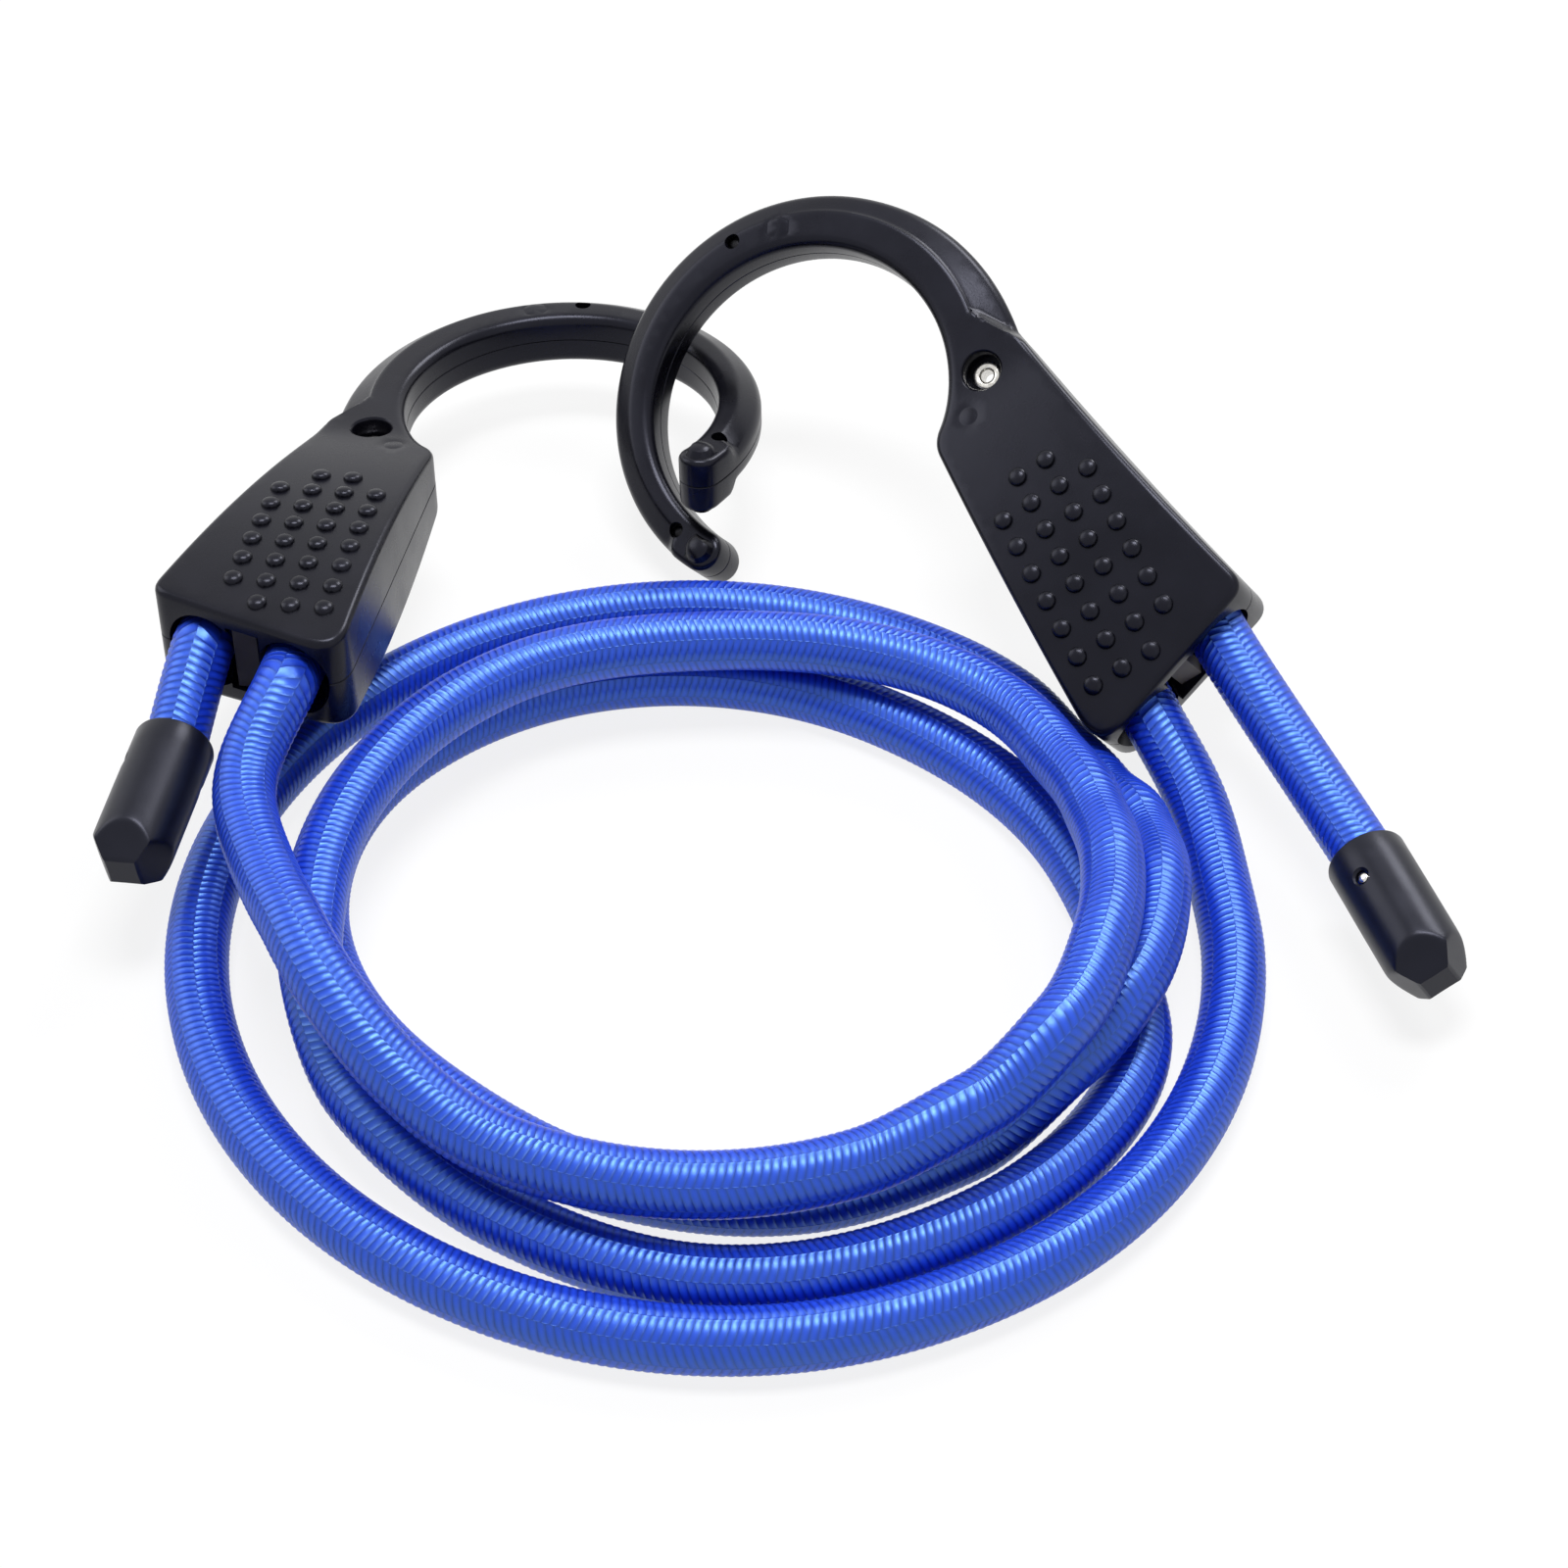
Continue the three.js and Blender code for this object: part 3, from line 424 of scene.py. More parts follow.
def braided_cord(name, line, start):
    """A stretch of cord along a line in metres, and the length of braid in it, which is a whole number of
    stitches. Its UV map holds real lengths: along the cord, counted on from start, and round it. The rings
    lean as the floats do, but for the ends."""
    sides = BRAID_COLUMNS * SIDES_PER_COLUMN
    girth = 2 * math.pi * CORD_RADIUS * MM
    runs = np.concatenate([[0], np.cumsum(np.linalg.norm(np.diff(line, axis=0), axis=1))])
    stitches = round(runs[-1] / (STITCH * MM))
    rings = stitches * RINGS_PER_STITCH
    columns = np.arange(sides) / SIDES_PER_COLUMN
    lean = FLOAT_LEAN * (1 - np.abs(columns % 2 - 1))
    counted = np.arange(rings + 1) / RINGS_PER_STITCH
    square = np.clip(np.minimum(counted, stitches - counted) / SQUARE_STITCHES, 0, 1)
    counted = counted[:, None] - square[:, None] * lean[None, :]
    yarn = np.abs(np.sin(math.pi * (counted + lean + 0.5 * (np.floor(columns) % 2))))
    bow = np.abs(np.sin(math.pi * columns)) ** FLOAT_END
    radius = (CORD_RADIUS - FLOAT_RISE * (1 - yarn * bow)) * MM

    def at(values):
        wanted = counted * runs[-1] / stitches
        return np.stack([np.interp(wanted, runs, values[:, k]) for k in range(3)], axis=2)

    along = np.gradient(line, axis=0)
    along /= np.linalg.norm(along, axis=1, keepdims=True)
    side = np.cross(along, (0, 0, 1))
    side /= np.linalg.norm(side, axis=1, keepdims=True)
    top = np.cross(side, along)
    angles = np.arange(sides) * 2 * math.pi / sides - math.pi / 2
    points = (at(line) + (radius * np.cos(angles))[:, :, None] * at(side)
              + (radius * np.sin(angles))[:, :, None] * at(top))
    points[:, :, 2] = np.maximum(points[:, :, 2], TABLE_CLEARANCE * MM)

    index = np.arange((rings + 1) * sides).reshape(rings + 1, sides)
    after = np.roll(index, -1, axis=1)
    quads = np.stack([index[:-1], after[:-1], after[1:], index[1:]], axis=2).reshape(-1, 4)
    u = start + counted * STITCH * MM
    u_after = np.roll(u, -1, axis=1)
    v = np.broadcast_to(girth * columns / BRAID_COLUMNS, u.shape)
    v_after = v + girth / sides
    uvs = np.stack([
        np.stack([u[:-1], u_after[:-1], u_after[1:], u[1:]], axis=2),
        np.stack([v[:-1], v_after[:-1], v_after[1:], v[1:]], axis=2),
    ], axis=3).reshape(-1, 2)
    ends = np.repeat([[start, 0], [start + stitches * STITCH * MM, 0]], sides, axis=0)
    faces = [*quads.tolist(), index[0, ::-1].tolist(), index[-1].tolist()]
    made = piece(name, points.reshape(-1, 3), faces, BRAID, 75, np.concatenate([uvs, ends]))
    return made, stitches * STITCH * MM


def softened(line, shares):
    """A line whose bends are spread along it, each point by its share."""
    for _ in range(SOFTENING_ROUNDS):
        line[1:-1] += 0.5 * shares[1:-1, None] * ((line[:-2] + line[2:]) / 2 - line[1:-1])
    return line


def coil_at(degrees):
    """The place of the coil's middle line, from the coil's centre on the table."""
    k = 0
    while k < len(COIL_KEYS) - 2 and degrees > COIL_KEYS[k + 1][0]:
        k += 1

    def slope(i):
        before, after = COIL_KEYS[max(i - 1, 0)], COIL_KEYS[min(i + 1, len(COIL_KEYS) - 1)]
        return (after[1] - before[1]) / (after[0] - before[0])

    (a0, r0, l0), (a1, r1, l1) = COIL_KEYS[k], COIL_KEYS[k + 1]
    t = (degrees - a0) / (a1 - a0)
    ease = smooth_step(t)
    reach = r0 + (r1 - r0) * ease + (a1 - a0) * t * (1 - t) * (slope(k) * (1 - t) - slope(k + 1) * t)
    angle = math.radians(degrees)
    height = CORD_RADIUS - CORD_FOOT + (l0 + (l1 - l0) * ease) * LAYER
    return Vector((reach * math.cos(angle), reach * math.sin(angle), height))


def mouth_y(x):
    """The height of a hook's slanting mouth."""
    share = (x - INNER_SIDE_X) / (OUTER_SIDE_X - INNER_SIDE_X)
    return MOUTH_INNER_Y + share * (MOUTH_OUTER_Y - MOUTH_INNER_Y)


def rivet_centre(side):
    low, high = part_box(f"{side}_neck_rivet")
    return (Vector(low) + Vector(high)) / 2 / MM


def hook_place(side):
    """From a hook's own millimetres to the whole part's."""
    heading, pitch, roll = (math.radians(a) for a in LIE[side])
    turn = Matrix.Rotation(heading, 4, "Z") @ Matrix.Rotation(pitch, 4, "X") @ Matrix.Rotation(roll, 4, "Y")
    return Matrix.Translation(rivet_centre(side)) @ turn


HOOK = {side: hook_place(side) for side in LIE}
COIL_CENTRE = rivet_centre("left") - LEFT_RIVET


def coil_line():
    """The coil's middle line, run on at both ends towards the leads."""
    first, last = COIL_KEYS[0][0], COIL_KEYS[-1][0]
    count = round((last - first) / COIL_STEP)
    points = [coil_at(first + (last - first) * i / count) + COIL_CENTRE for i in range(count + 1)]
    step = round(COIL_END_TURN / COIL_STEP)
    before = points[0] + (points[0] - points[step]).normalized() * 2 * CORD_RADIUS
    after = points[-1] + (points[-1] - points[-1 - step]).normalized() * 2 * CORD_RADIUS
    return [before, *points, after]


def lead_line(side, coil_end, coil_next):
    """From a hook's turn down the live lane and on to the coil."""
    mouth = mouth_y(LIVE_LANE_X)
    along = (coil_end - coil_next).normalized()
    heights = (LANE_TOP - TURN_LEG - TOUCH_GAP, (LANE_TOP + mouth) / 2, mouth, mouth - LEAD_STRAIGHT)
    in_hook = [HOOK[side] @ Vector((LIVE_LANE_X, y, 0)) for y in heights]
    return through([*in_hook, coil_end + along * CORD_RADIUS, coil_end], LINE_STEP) * MM


def tail_line(side):
    """From a hook's turn down the tail lane and on into the cap."""
    mouth = mouth_y(TAIL_LANE_X)
    rim, nose = (p + COIL_CENTRE for p in TAILS[side])
    axis = (nose - rim).normalized()
    heights = (LANE_TOP - TURN_LEG - TOUCH_GAP, (LANE_TOP + mouth) / 2, mouth, mouth - TAIL_STRAIGHT)
    in_hook = [HOOK[side] @ Vector((TAIL_LANE_X, y, 0)) for y in heights]
    in_cap = [rim + axis * d for d in (-CORD_RADIUS / 4, CAP_SOCKET / 2, CAP_SOCKET - TOUCH_GAP)]
    line = through([*in_hook, *in_cap], LINE_STEP) * MM
    out, into = (np.argmin(np.linalg.norm(line - np.array(p) * MM, axis=1)) for p in (in_hook[2], rim))
    count = np.arange(len(line))
    return softened(line, np.clip(np.minimum(count - out, into - count) * LINE_STEP / TAIL_EASE, 0, 1))


def turn_line(side):
    """Round the inside of a hook, from the live lane to the tail lane."""
    middle, radius = (LIVE_LANE_X + TAIL_LANE_X) / 2, (TAIL_LANE_X - LIVE_LANE_X) / 2
    points = [Vector((LIVE_LANE_X, LANE_TOP - TURN_LEG * s, 0)) for s in (1, 0.5)]
    for i in range(13):
        angle = math.pi * (1 - i / 12)
        points.append(Vector((middle + radius * math.cos(angle), LANE_TOP + radius * math.sin(angle), 0)))
    points += [Vector((TAIL_LANE_X, LANE_TOP - TURN_LEG * s, 0)) for s in (0.5, 1)]
    return through([HOOK[side] @ p for p in points], LINE_STEP) * MM


def eased(*lines):
    """Lines of one cord that meet end to end, with the bends where they meet spread along them."""
    whole = np.concatenate([lines[0], *(line[1:] for line in lines[1:])])
    meets = np.cumsum([len(line) - 1 for line in lines])[:-1]
    far = np.abs(np.arange(len(whole))[:, None] - meets[None, :]).min(axis=1) * LINE_STEP
    return np.split(softened(whole, np.clip(1 - far / MEET_REACH, 0, 1)), meets)


coil_points = coil_line()
left_lead, coil, right_lead = eased(
    lead_line("left", coil_points[0], coil_points[1]),
    spaced(coil_points, LINE_STEP) * MM,
    lead_line("right", coil_points[-1], coil_points[-2])[::-1],
)
left_lead = np.concatenate([left_lead, coil[:1]])
coil = np.concatenate([coil, right_lead[:1]])
leads = {"left": left_lead, "right": right_lead}
tails = {"left": tail_line("left")[::-1], "right": tail_line("right")}
turns = {"left": turn_line("left")[::-1], "right": turn_line("right")}

# The stretches in order from the left cap to the right one.
stretches = {}
paid_out = 0.0
for name, line in (
    ("left_tail", tails["left"]), ("left_turn", turns["left"]), ("left_lead", leads["left"]),
    ("coil", coil),
    ("right_lead", leads["right"]), ("right_turn", turns["right"]), ("right_tail", tails["right"]),
):
    stretches[name], length = braided_cord(f"{name}_braid", line, paid_out)
    paid_out += length


# The hooks

def arc(centre, radius, start, end, step):
    count = max(2, math.ceil(abs(math.radians(end - start)) * radius / step))
    angles = [math.radians(start + (end - start) * i / count) for i in range(count + 1)]
    return [centre + radius * Vector((math.cos(a), math.sin(a))) for a in angles]


def rounded(start, corner, end, count=8):
    shares = [i / count for i in range(count + 1)]
    return [start * (1 - t) ** 2 + corner * 2 * t * (1 - t) + end * t ** 2 for t in shares]


def straight(start, end, step):
    count = max(1, math.ceil((end - start).length / step))
    return [start.lerp(end, i / count) for i in range(count + 1)]


def spoke(centre, radius, degrees):
    angle = math.radians(degrees)
    return centre + radius * Vector((math.cos(angle), math.sin(angle)))


def arm_middle(degrees):
    return (spoke(ARM_OUTER, ARM_OUTER_RADIUS, degrees) + spoke(ARM_INNER, ARM_INNER_RADIUS, degrees)) / 2


def hook_outline(step=1.0):
    """Up the outer side, round the arm to its tip, back along the throat, down the inner side and along the
    mouth."""
    neck = spoke(ARM_OUTER, ARM_OUTER_RADIUS + NECK_FULLNESS, ARM_START)
    neck_end = spoke(ARM_OUTER, ARM_OUTER_RADIUS, NECK_TURN)
    swell = spoke(neck_end, NECK_REACH, NECK_TURN - 90)
    corner = Vector((OUTER_SIDE_X, MOUTH_OUTER_Y))
    hollow = (corner + neck) / 2 - Vector((2 * OUTER_HOLLOW, 0))
    mouth_outer = Vector((OUTER_SIDE_X - OUTER_CORNER, mouth_y(OUTER_SIDE_X - OUTER_CORNER)))
    side_foot = corner + (neck - corner).normalized() * OUTER_CORNER
    tip_out = spoke(ARM_OUTER, ARM_OUTER_RADIUS, ARM_END)
    tip = arm_middle(ARM_END)
    tip_angle = math.degrees(math.atan2(*(tip_out - tip).yx))
    drop = math.sqrt(ARM_INNER_RADIUS ** 2 - (INNER_SIDE_X - ARM_INNER.x) ** 2)
    shoulder = Vector((INNER_SIDE_X, ARM_INNER.y - drop))
    throat_end = math.degrees(
        math.atan2(-drop, INNER_SIDE_X - ARM_INNER.x) + SHOULDER_CORNER / ARM_INNER_RADIUS)
    inner = Vector((INNER_SIDE_X, MOUTH_INNER_Y))
    mouth_inner = Vector((INNER_SIDE_X + INNER_CORNER, mouth_y(INNER_SIDE_X + INNER_CORNER)))
    throat = arc(ARM_INNER, ARM_INNER_RADIUS, ARM_END, throat_end, step)
    runs = [
        rounded(mouth_outer, corner, side_foot),
        rounded(side_foot, hollow, neck, 60),
        rounded(neck, swell, neck_end, 40),
        arc(ARM_OUTER, ARM_OUTER_RADIUS, NECK_TURN, ARM_END, step),
        arc(tip, (tip_out - tip).length, tip_angle, tip_angle + 180, step / 2),
        throat,
        rounded(throat[-1], shoulder, shoulder - Vector((0, SHOULDER_CORNER))),
        straight(shoulder - Vector((0, SHOULDER_CORNER)), inner + Vector((0, INNER_CORNER)), step),
        rounded(inner + Vector((0, INNER_CORNER)), inner, mouth_inner, 12),
        straight(mouth_inner, mouth_outer, step),
    ]
    outline = []
    for run in runs:
        for p in run:
            if not outline or (p - outline[-1]).length > 0.05:
                outline.append(p)
    if (outline[0] - outline[-1]).length < 0.05:
        outline.pop()
    return outline


def edge_rounds(outline):
    """How far the edge is rounded at each point of the outline: more along the throat than elsewhere."""
    sharp = [abs((p - ARM_INNER).length - ARM_INNER_RADIUS) > 0.3 for p in outline]
    rounds = np.where(sharp, EDGE_RADIUS, THROAT_EDGE_RADIUS)
    beside = 4
    spread = np.ones(2 * beside + 1) / (2 * beside + 1)
    return np.convolve(np.concatenate([rounds[-beside:], rounds, rounds[:beside]]), spread, "valid")


def inward(outline):
    """The way into the hook at each point of its outline, which runs anticlockwise."""
    ways = []
    for before, after in zip(outline[-1:] + outline[:-1], outline[1:] + outline[:1]):
        run = (after - before).normalized()
        ways.append(Vector((-run.y, run.x)))
    return ways


BEVEL_RIDGE = ARM_OUTER_RADIUS - ARM_BEVEL
BEVEL_FALL = (ARM_HALF - ARM_EDGE) / (ARM_BEVEL + NECK_FULLNESS)
BEVEL_STOP_POINT = spoke(ARM_OUTER, BEVEL_RIDGE, BEVEL_STOP)
BEVEL_STOP_WAY = spoke(Vector((0, 0)), 1, BEVEL_STOP_TURN)
BEVEL_STOP_OUT = Vector((-BEVEL_STOP_WAY.y, BEVEL_STOP_WAY.x))
TIP = arm_middle(ARM_END)
TIP_PLATE = (spoke(ARM_OUTER, ARM_OUTER_RADIUS, ARM_END) - TIP).length + BEVEL_TIP_PLATE


def face_height(p):
    """The height of a hook's face over its parting plane: the crowned body, the flat arm and the slope
    along the arm's outer side."""
    crown = BODY_HALF - (p.y - CROWN_TOP) ** 2 / (2 * CROWN_RADIUS)
    height = (crown + ARM_HALF + math.sqrt((crown - ARM_HALF) ** 2 + CROWN_BLEND)) / 2
    past = (p - ARM_OUTER).length - BEVEL_RIDGE
    share = smooth_step(((p - TIP).length - TIP_PLATE) / BEVEL_EASE)
    if (p - BEVEL_STOP_POINT).dot(BEVEL_STOP_WAY) > 0:
        share *= smooth_step((p - BEVEL_STOP_POINT).dot(BEVEL_STOP_OUT) / BEVEL_EASE)
    angle = math.degrees(math.atan2(*(p - ARM_OUTER).yx))
    lip = 0
    if LIP_SPAN[0] < angle < LIP_SPAN[1]:
        fade = 1 - smooth_step((angle - LIP_FADE[0]) / LIP_FADE[1])
        lip = SLOPE_LIP * smooth_step(past / SLOPE_LIP_WIDTH) * fade
    slope = BEVEL_FALL * (past + math.sqrt(past * past + RIDGE_BLEND)) / 2
    return height - share * (slope + lip)


def inside(p, outline):
    """Whether a point lies within an outline."""
    hit = False
    for a, b in zip(outline, outline[1:] + outline[:1]):
        if (a.y > p.y) != (b.y > p.y) and p.x < (b.x - a.x) * (p.y - a.y) / (b.y - a.y) + a.x:
            hit = not hit
    return hit


def knob(centre, radius, height, round_share):
    """Rings of points with their rise over the face, for a knob with a steep side and a round top."""
    rings = [(centre, height)]
    for share in KNOB_RINGS:
        rise = height * max(0, 1 - share ** round_share) ** (1 / round_share) if share < 1 else 0
        for k in range(KNOB_SIDES):
            angle = 2 * math.pi * k / KNOB_SIDES
            rings.append((centre + radius * share * Vector((math.cos(angle), math.sin(angle))), rise))
    return rings


def mark(centre, radius, corners):
    """A faint ring left on the face by the mould, round or with corners."""
    rings = []
    for offset, depth in MARK_GROOVE:
        for k in range(MARK_SIDES):
            angle = 2 * math.pi * k / MARK_SIDES
            shape = 1
            if corners:
                part = math.pi / corners
                shape = math.cos(part) / math.cos(angle % (2 * part) - part)
            way = Vector((math.cos(angle), math.sin(angle)))
            rings.append((centre + (radius * shape + offset) * way, -depth))
    return rings


def clear_of(spots, others, least):
    """The spots that lie at least so far from all the others."""
    tree = KDTree(len(others))
    for i, p in enumerate(others):
        tree.insert((p.x, p.y, 0), i)
    tree.balance()
    return [p for p in spots if tree.find((p.x, p.y, 0))[2] > least]


def face_details():
    """The dots, the pip on the tip and the mould's marks: points with their rise over the face."""
    details = []
    middle_column, middle_row = DOT_MIDDLE
    for column, (first, last) in enumerate(DOT_COLUMNS):
        for row in range(first, last + 1):
            x = (column - middle_column) * DOT_PITCH
            y = DOT_FIELD_Y - (row - middle_row) * DOT_PITCH
            details += knob(Vector((x, y)), DOT_RADIUS, DOT_HEIGHT, DOT_ROUND)
    details += knob(TIP, PIP_RADIUS, PIP_HEIGHT, PIP_ROUND)
    for centre, radius, corners in MARKS:
        details += mark(centre, radius, corners)
    return details


def plain_spots(core, taken):
    """The points between the details, closer along the slope's ridge, at its stop and round the tip."""
    ridge = [spoke(ARM_OUTER, BEVEL_RIDGE + past, k)
             for past in (-0.9, -0.5, -0.2, 0.1, 0.4, 0.7, 1.2, 1.9) for k in range(-12, 216)]
    stop = [BEVEL_STOP_POINT + BEVEL_STOP_WAY * k * 0.6 + BEVEL_STOP_OUT * out
            for out in (-0.5, 0, 0.35, 0.8, 1.25, 1.6, 2.1) for k in range(2, 30)]
    tip = [spoke(TIP, TIP_PLATE + past, 4 * k)
           for past in (-0.4, 0, 0.4, 0.8, 1.2, 1.6, 2) for k in range(90)]
    grid = [Vector((i * FACE_GRID + (j % 2) * FACE_GRID / 2, j * FACE_GRID))
            for i in range(-48, 17) for j in range(-48, 36)]
    plain = []
    for spots, least in ((ridge, 0.5), (stop, 0.3), (tip, 0.3), (grid, FACE_GRID / 2)):
        plain += clear_of([p for p in spots if inside(p, core)], taken + plain, least)
    return plain


def hook_face():
    """All points of a front face with their heights, first in rings from the outline inwards, and those
    rings."""
    outline = hook_outline()
    ways = inward(outline)
    rounds = edge_rounds(outline)
    places, heights, loops = [], [], []
    for degrees in (0, 20, 40, 60, 75, 90):
        share = math.radians(degrees)
        loop = []
        for p, way, edge in zip(outline, ways, rounds):
            spot = p + way * edge * (1 - math.cos(share))
            height = face_height(spot)
            drop = min(edge, 0.7 * (height - HALF_FLOOR))
            loop.append(len(places))
            places.append(spot)
            heights.append(height - drop * (1 - math.sin(share)))
        loops.append(loop)
    core = [p + way * (edge + FACE_INSET) for p, way, edge in zip(outline, ways, rounds)]
    details = [(p, rise) for p, rise in face_details() if inside(p, core)]
    plain = plain_spots(core, [p for p, rise in details])
    for p, rise in details + [(p, 0) for p in plain]:
        places.append(p)
        heights.append(face_height(p) + rise)
    return places, heights, loops


def hook_half_block():
    """A closed front half with no lanes or holes yet: its face, its wall with a chamfer at the foot, and
    its parting face."""
    places, heights, loops = hook_face()
    edges = [(a, b) for loop in loops for a, b in zip(loop, loop[1:] + loop[:1])]
    found, _, triangles, sources, _, _ = delaunay_2d_cdt(places, edges, [], 1, 1e-4)
    points = []
    where = {}
    for i, (p, source) in enumerate(zip(found, sources)):
        points.append(Vector((p.x, p.y, heights[source[0]] if source else face_height(p))))
        for s in source:
            where[s] = i
    faces = [list(t) for t in triangles]
    rim = [where[i] for i in loops[0]]
    flat = [Vector(points[i].xy) for i in rim]
    ways = inward(flat)
    above = rim
    for rise, inset in ((1, 0), (0, SEAM_INSET)):
        ring = []
        for i, p, way in zip(rim, flat, ways):
            chamfer = min(SEAM_CHAMFER, 0.4 * (points[i].z - HALF_FLOOR))
            spot = p + way * inset * chamfer / SEAM_CHAMFER
            ring.append(len(points))
            points.append(Vector((spot.x, spot.y, HALF_FLOOR + rise * chamfer)))
        for k in range(len(ring)):
            n = (k + 1) % len(ring)
            faces.append([above[k], ring[k], ring[n], above[n]])
        above = ring
    seam = [Vector(points[i].xy) for i in above]
    count = len(seam)
    _, _, triangles, sources, _, _ = delaunay_2d_cdt(
        seam, [(k, (k + 1) % count) for k in range(count)], [], 1, 1e-6)
    faces += [[above[sources[i][0]] for i in reversed(t)] for t in triangles]
    return points, faces


def new_block(points, faces):
    """A closed solid that can be cut."""
    mesh = bpy.data.meshes.new("block")
    mesh.from_pydata([tuple(p) for p in points], [], faces)
    block = bpy.data.objects.new("block", mesh)
    bpy.context.scene.collection.objects.link(block)
    return block


def cut(block, points, faces):
    """Takes a closed solid out of a block."""
    tool = new_block(points, faces)
    change = block.modifiers.new("cut", "BOOLEAN")
    change.operation = "DIFFERENCE"
    change.solver = "MANIFOLD"
    change.object = tool
    ready = block.evaluated_get(bpy.context.evaluated_depsgraph_get())
    mesh = bpy.data.meshes.new_from_object(ready)
    block.modifiers.clear()
    old = block.data
    block.data = mesh
    bpy.data.meshes.remove(old)
    bpy.data.objects.remove(tool)


def taken_from(block):
    """The points and faces of a block, which is done with."""
    points = [v.co.copy() for v in block.data.vertices]
    faces = [list(p.vertices) for p in block.data.polygons]
    bpy.data.objects.remove(block)
    return points, faces


def bored(solid, cutter, place):
    """A closed solid with another, moved to its place, taken out of it."""
    block = new_block(*solid)
    points, faces = cutter
    cut(block, [place @ Vector(p) for p in points], faces)
    return taken_from(block)


def lane_cutter(x):
    """A cord lane along y with a flared mouth."""
    mouth, top = mouth_y(x), LANE_TOP + TOUCH_GAP
    profile = [(0, mouth + MOUTH_FLARE[0][1])]
    profile += [(radius, mouth + way) for radius, way in MOUTH_FLARE]
    profile += [(LANE_RADIUS, top), (0, top)]
    points, faces = turned(profile, 48)
    return [(px + x, pz, -py) for px, py, pz in points], faces


def turn_cutter():
    """The half ring in which the cord turns round."""
    middle, radius = (LIVE_LANE_X + TAIL_LANE_X) / 2, (TAIL_LANE_X - LIVE_LANE_X) / 2
    points, faces = [], []
    rings, sides = 25, 32
    for i in range(rings):
        angle = math.pi * (1 - i / (rings - 1))
        way = Vector((math.cos(angle), math.sin(angle), 0))
        centre = Vector((middle, LANE_TOP, 0)) + way * radius
        for k in range(sides):
            turn = 2 * math.pi * k / sides
            points.append(centre + LANE_RADIUS * (way * math.cos(turn) + Vector((0, 0, math.sin(turn)))))
    for i in range(rings - 1):
        for k in range(sides):
            n = (k + 1) % sides
            faces.append([i * sides + k, i * sides + n, (i + 1) * sides + n, (i + 1) * sides + k])
    faces += [list(range(sides))[::-1], list(range((rings - 1) * sides, rings * sides))]
    return points, faces


def box_solid(low, high):
    points = [(x, y, z) for z in (low[2], high[2]) for y in (low[1], high[1]) for x in (low[0], high[0])]
    return points, [[0, 2, 3, 1], [4, 5, 7, 6], [0, 1, 5, 4], [1, 3, 7, 5], [3, 2, 6, 7], [2, 0, 4, 6]]


def hook_half_mesh():
    """A front half with its lanes, the room for the cleat, the rivet's well and the pins' holes."""
    block = new_block(*hook_half_block())
    cut(block, *lane_cutter(LIVE_LANE_X))
    cut(block, *lane_cutter(TAIL_LANE_X))
    cut(block, *turn_cutter())
    middle = (LIVE_LANE_X + TAIL_LANE_X) / 2
    half = CLEAT_WIDTH / 2 + TOUCH_GAP
    cut(block, *box_solid((middle - half, MOUTH_INNER_Y - CUT_PAST, CUT_LOW),
                          (middle + half, LANE_TOP + TOUCH_GAP, CLEAT_HEIGHT / 2 + TOUCH_GAP)))
    bore = RIVET_RADIUS + TOUCH_GAP
    rim = [(RIVET_WELL_RADIUS + wider, height) for wider, height in RIVET_WELL_RIM]
    profile = [(0, CUT_LOW), (bore, CUT_LOW), (bore, RIVET_SEAT), (RIVET_WELL_RADIUS, RIVET_SEAT), *rim,
               (rim[-1][0], CUT_HIGH), (0, CUT_HIGH)]
    cut(block, *turned(profile, 64))
    bore = PIN_RADIUS + TOUCH_GAP
    points, faces = turned([(0, CUT_LOW), (bore, CUT_LOW), (bore, CUT_HIGH), (0, CUT_HIGH)], 32)
    for angle in PIN_ANGLES.values():
        spot = arm_middle(angle)
        cut(block, [(x + spot.x, y + spot.y, z) for x, y, z in points], faces)
    return taken_from(block)


half_points, half_faces = hook_half_mesh()


def rivet_solid():
    """A tubular rivet whose heads are rolled over at both ends."""
    shoulder = RIVET_SEAT + TOUCH_GAP
    head = [(RIVET_RADIUS, shoulder), (RIVET_HEAD_RADIUS - RIVET_ROLL_FOOT, shoulder)]
    edge, roll = shoulder + RIVET_ROLL_EDGE, RIVET_HEAD - RIVET_ROLL_EDGE
    middle = (RIVET_HEAD_RADIUS + RIVET_BORE) / 2
    half = (RIVET_HEAD_RADIUS - RIVET_BORE) / 2
    for i in range(13):
        angle = math.pi * i / 12
        head.append((middle + half * math.cos(angle), edge + roll * math.sin(angle) ** RIVET_ROLL_SHAPE))
    profile = [(r, -z) for r, z in reversed(head)] + head
    return turned(profile + [profile[0]], 64)


def pin_solid(radius, reach):
    """A short dowel with rounded ends."""
    ends = [(radius * math.sin(math.radians(a)), reach - PIN_END * (1 - math.cos(math.radians(a))))
            for a in (0, 30, 55, 75, 90)]
    return turned([(r, -z) for r, z in ends] + [(r, z) for r, z in reversed(ends)], 32)


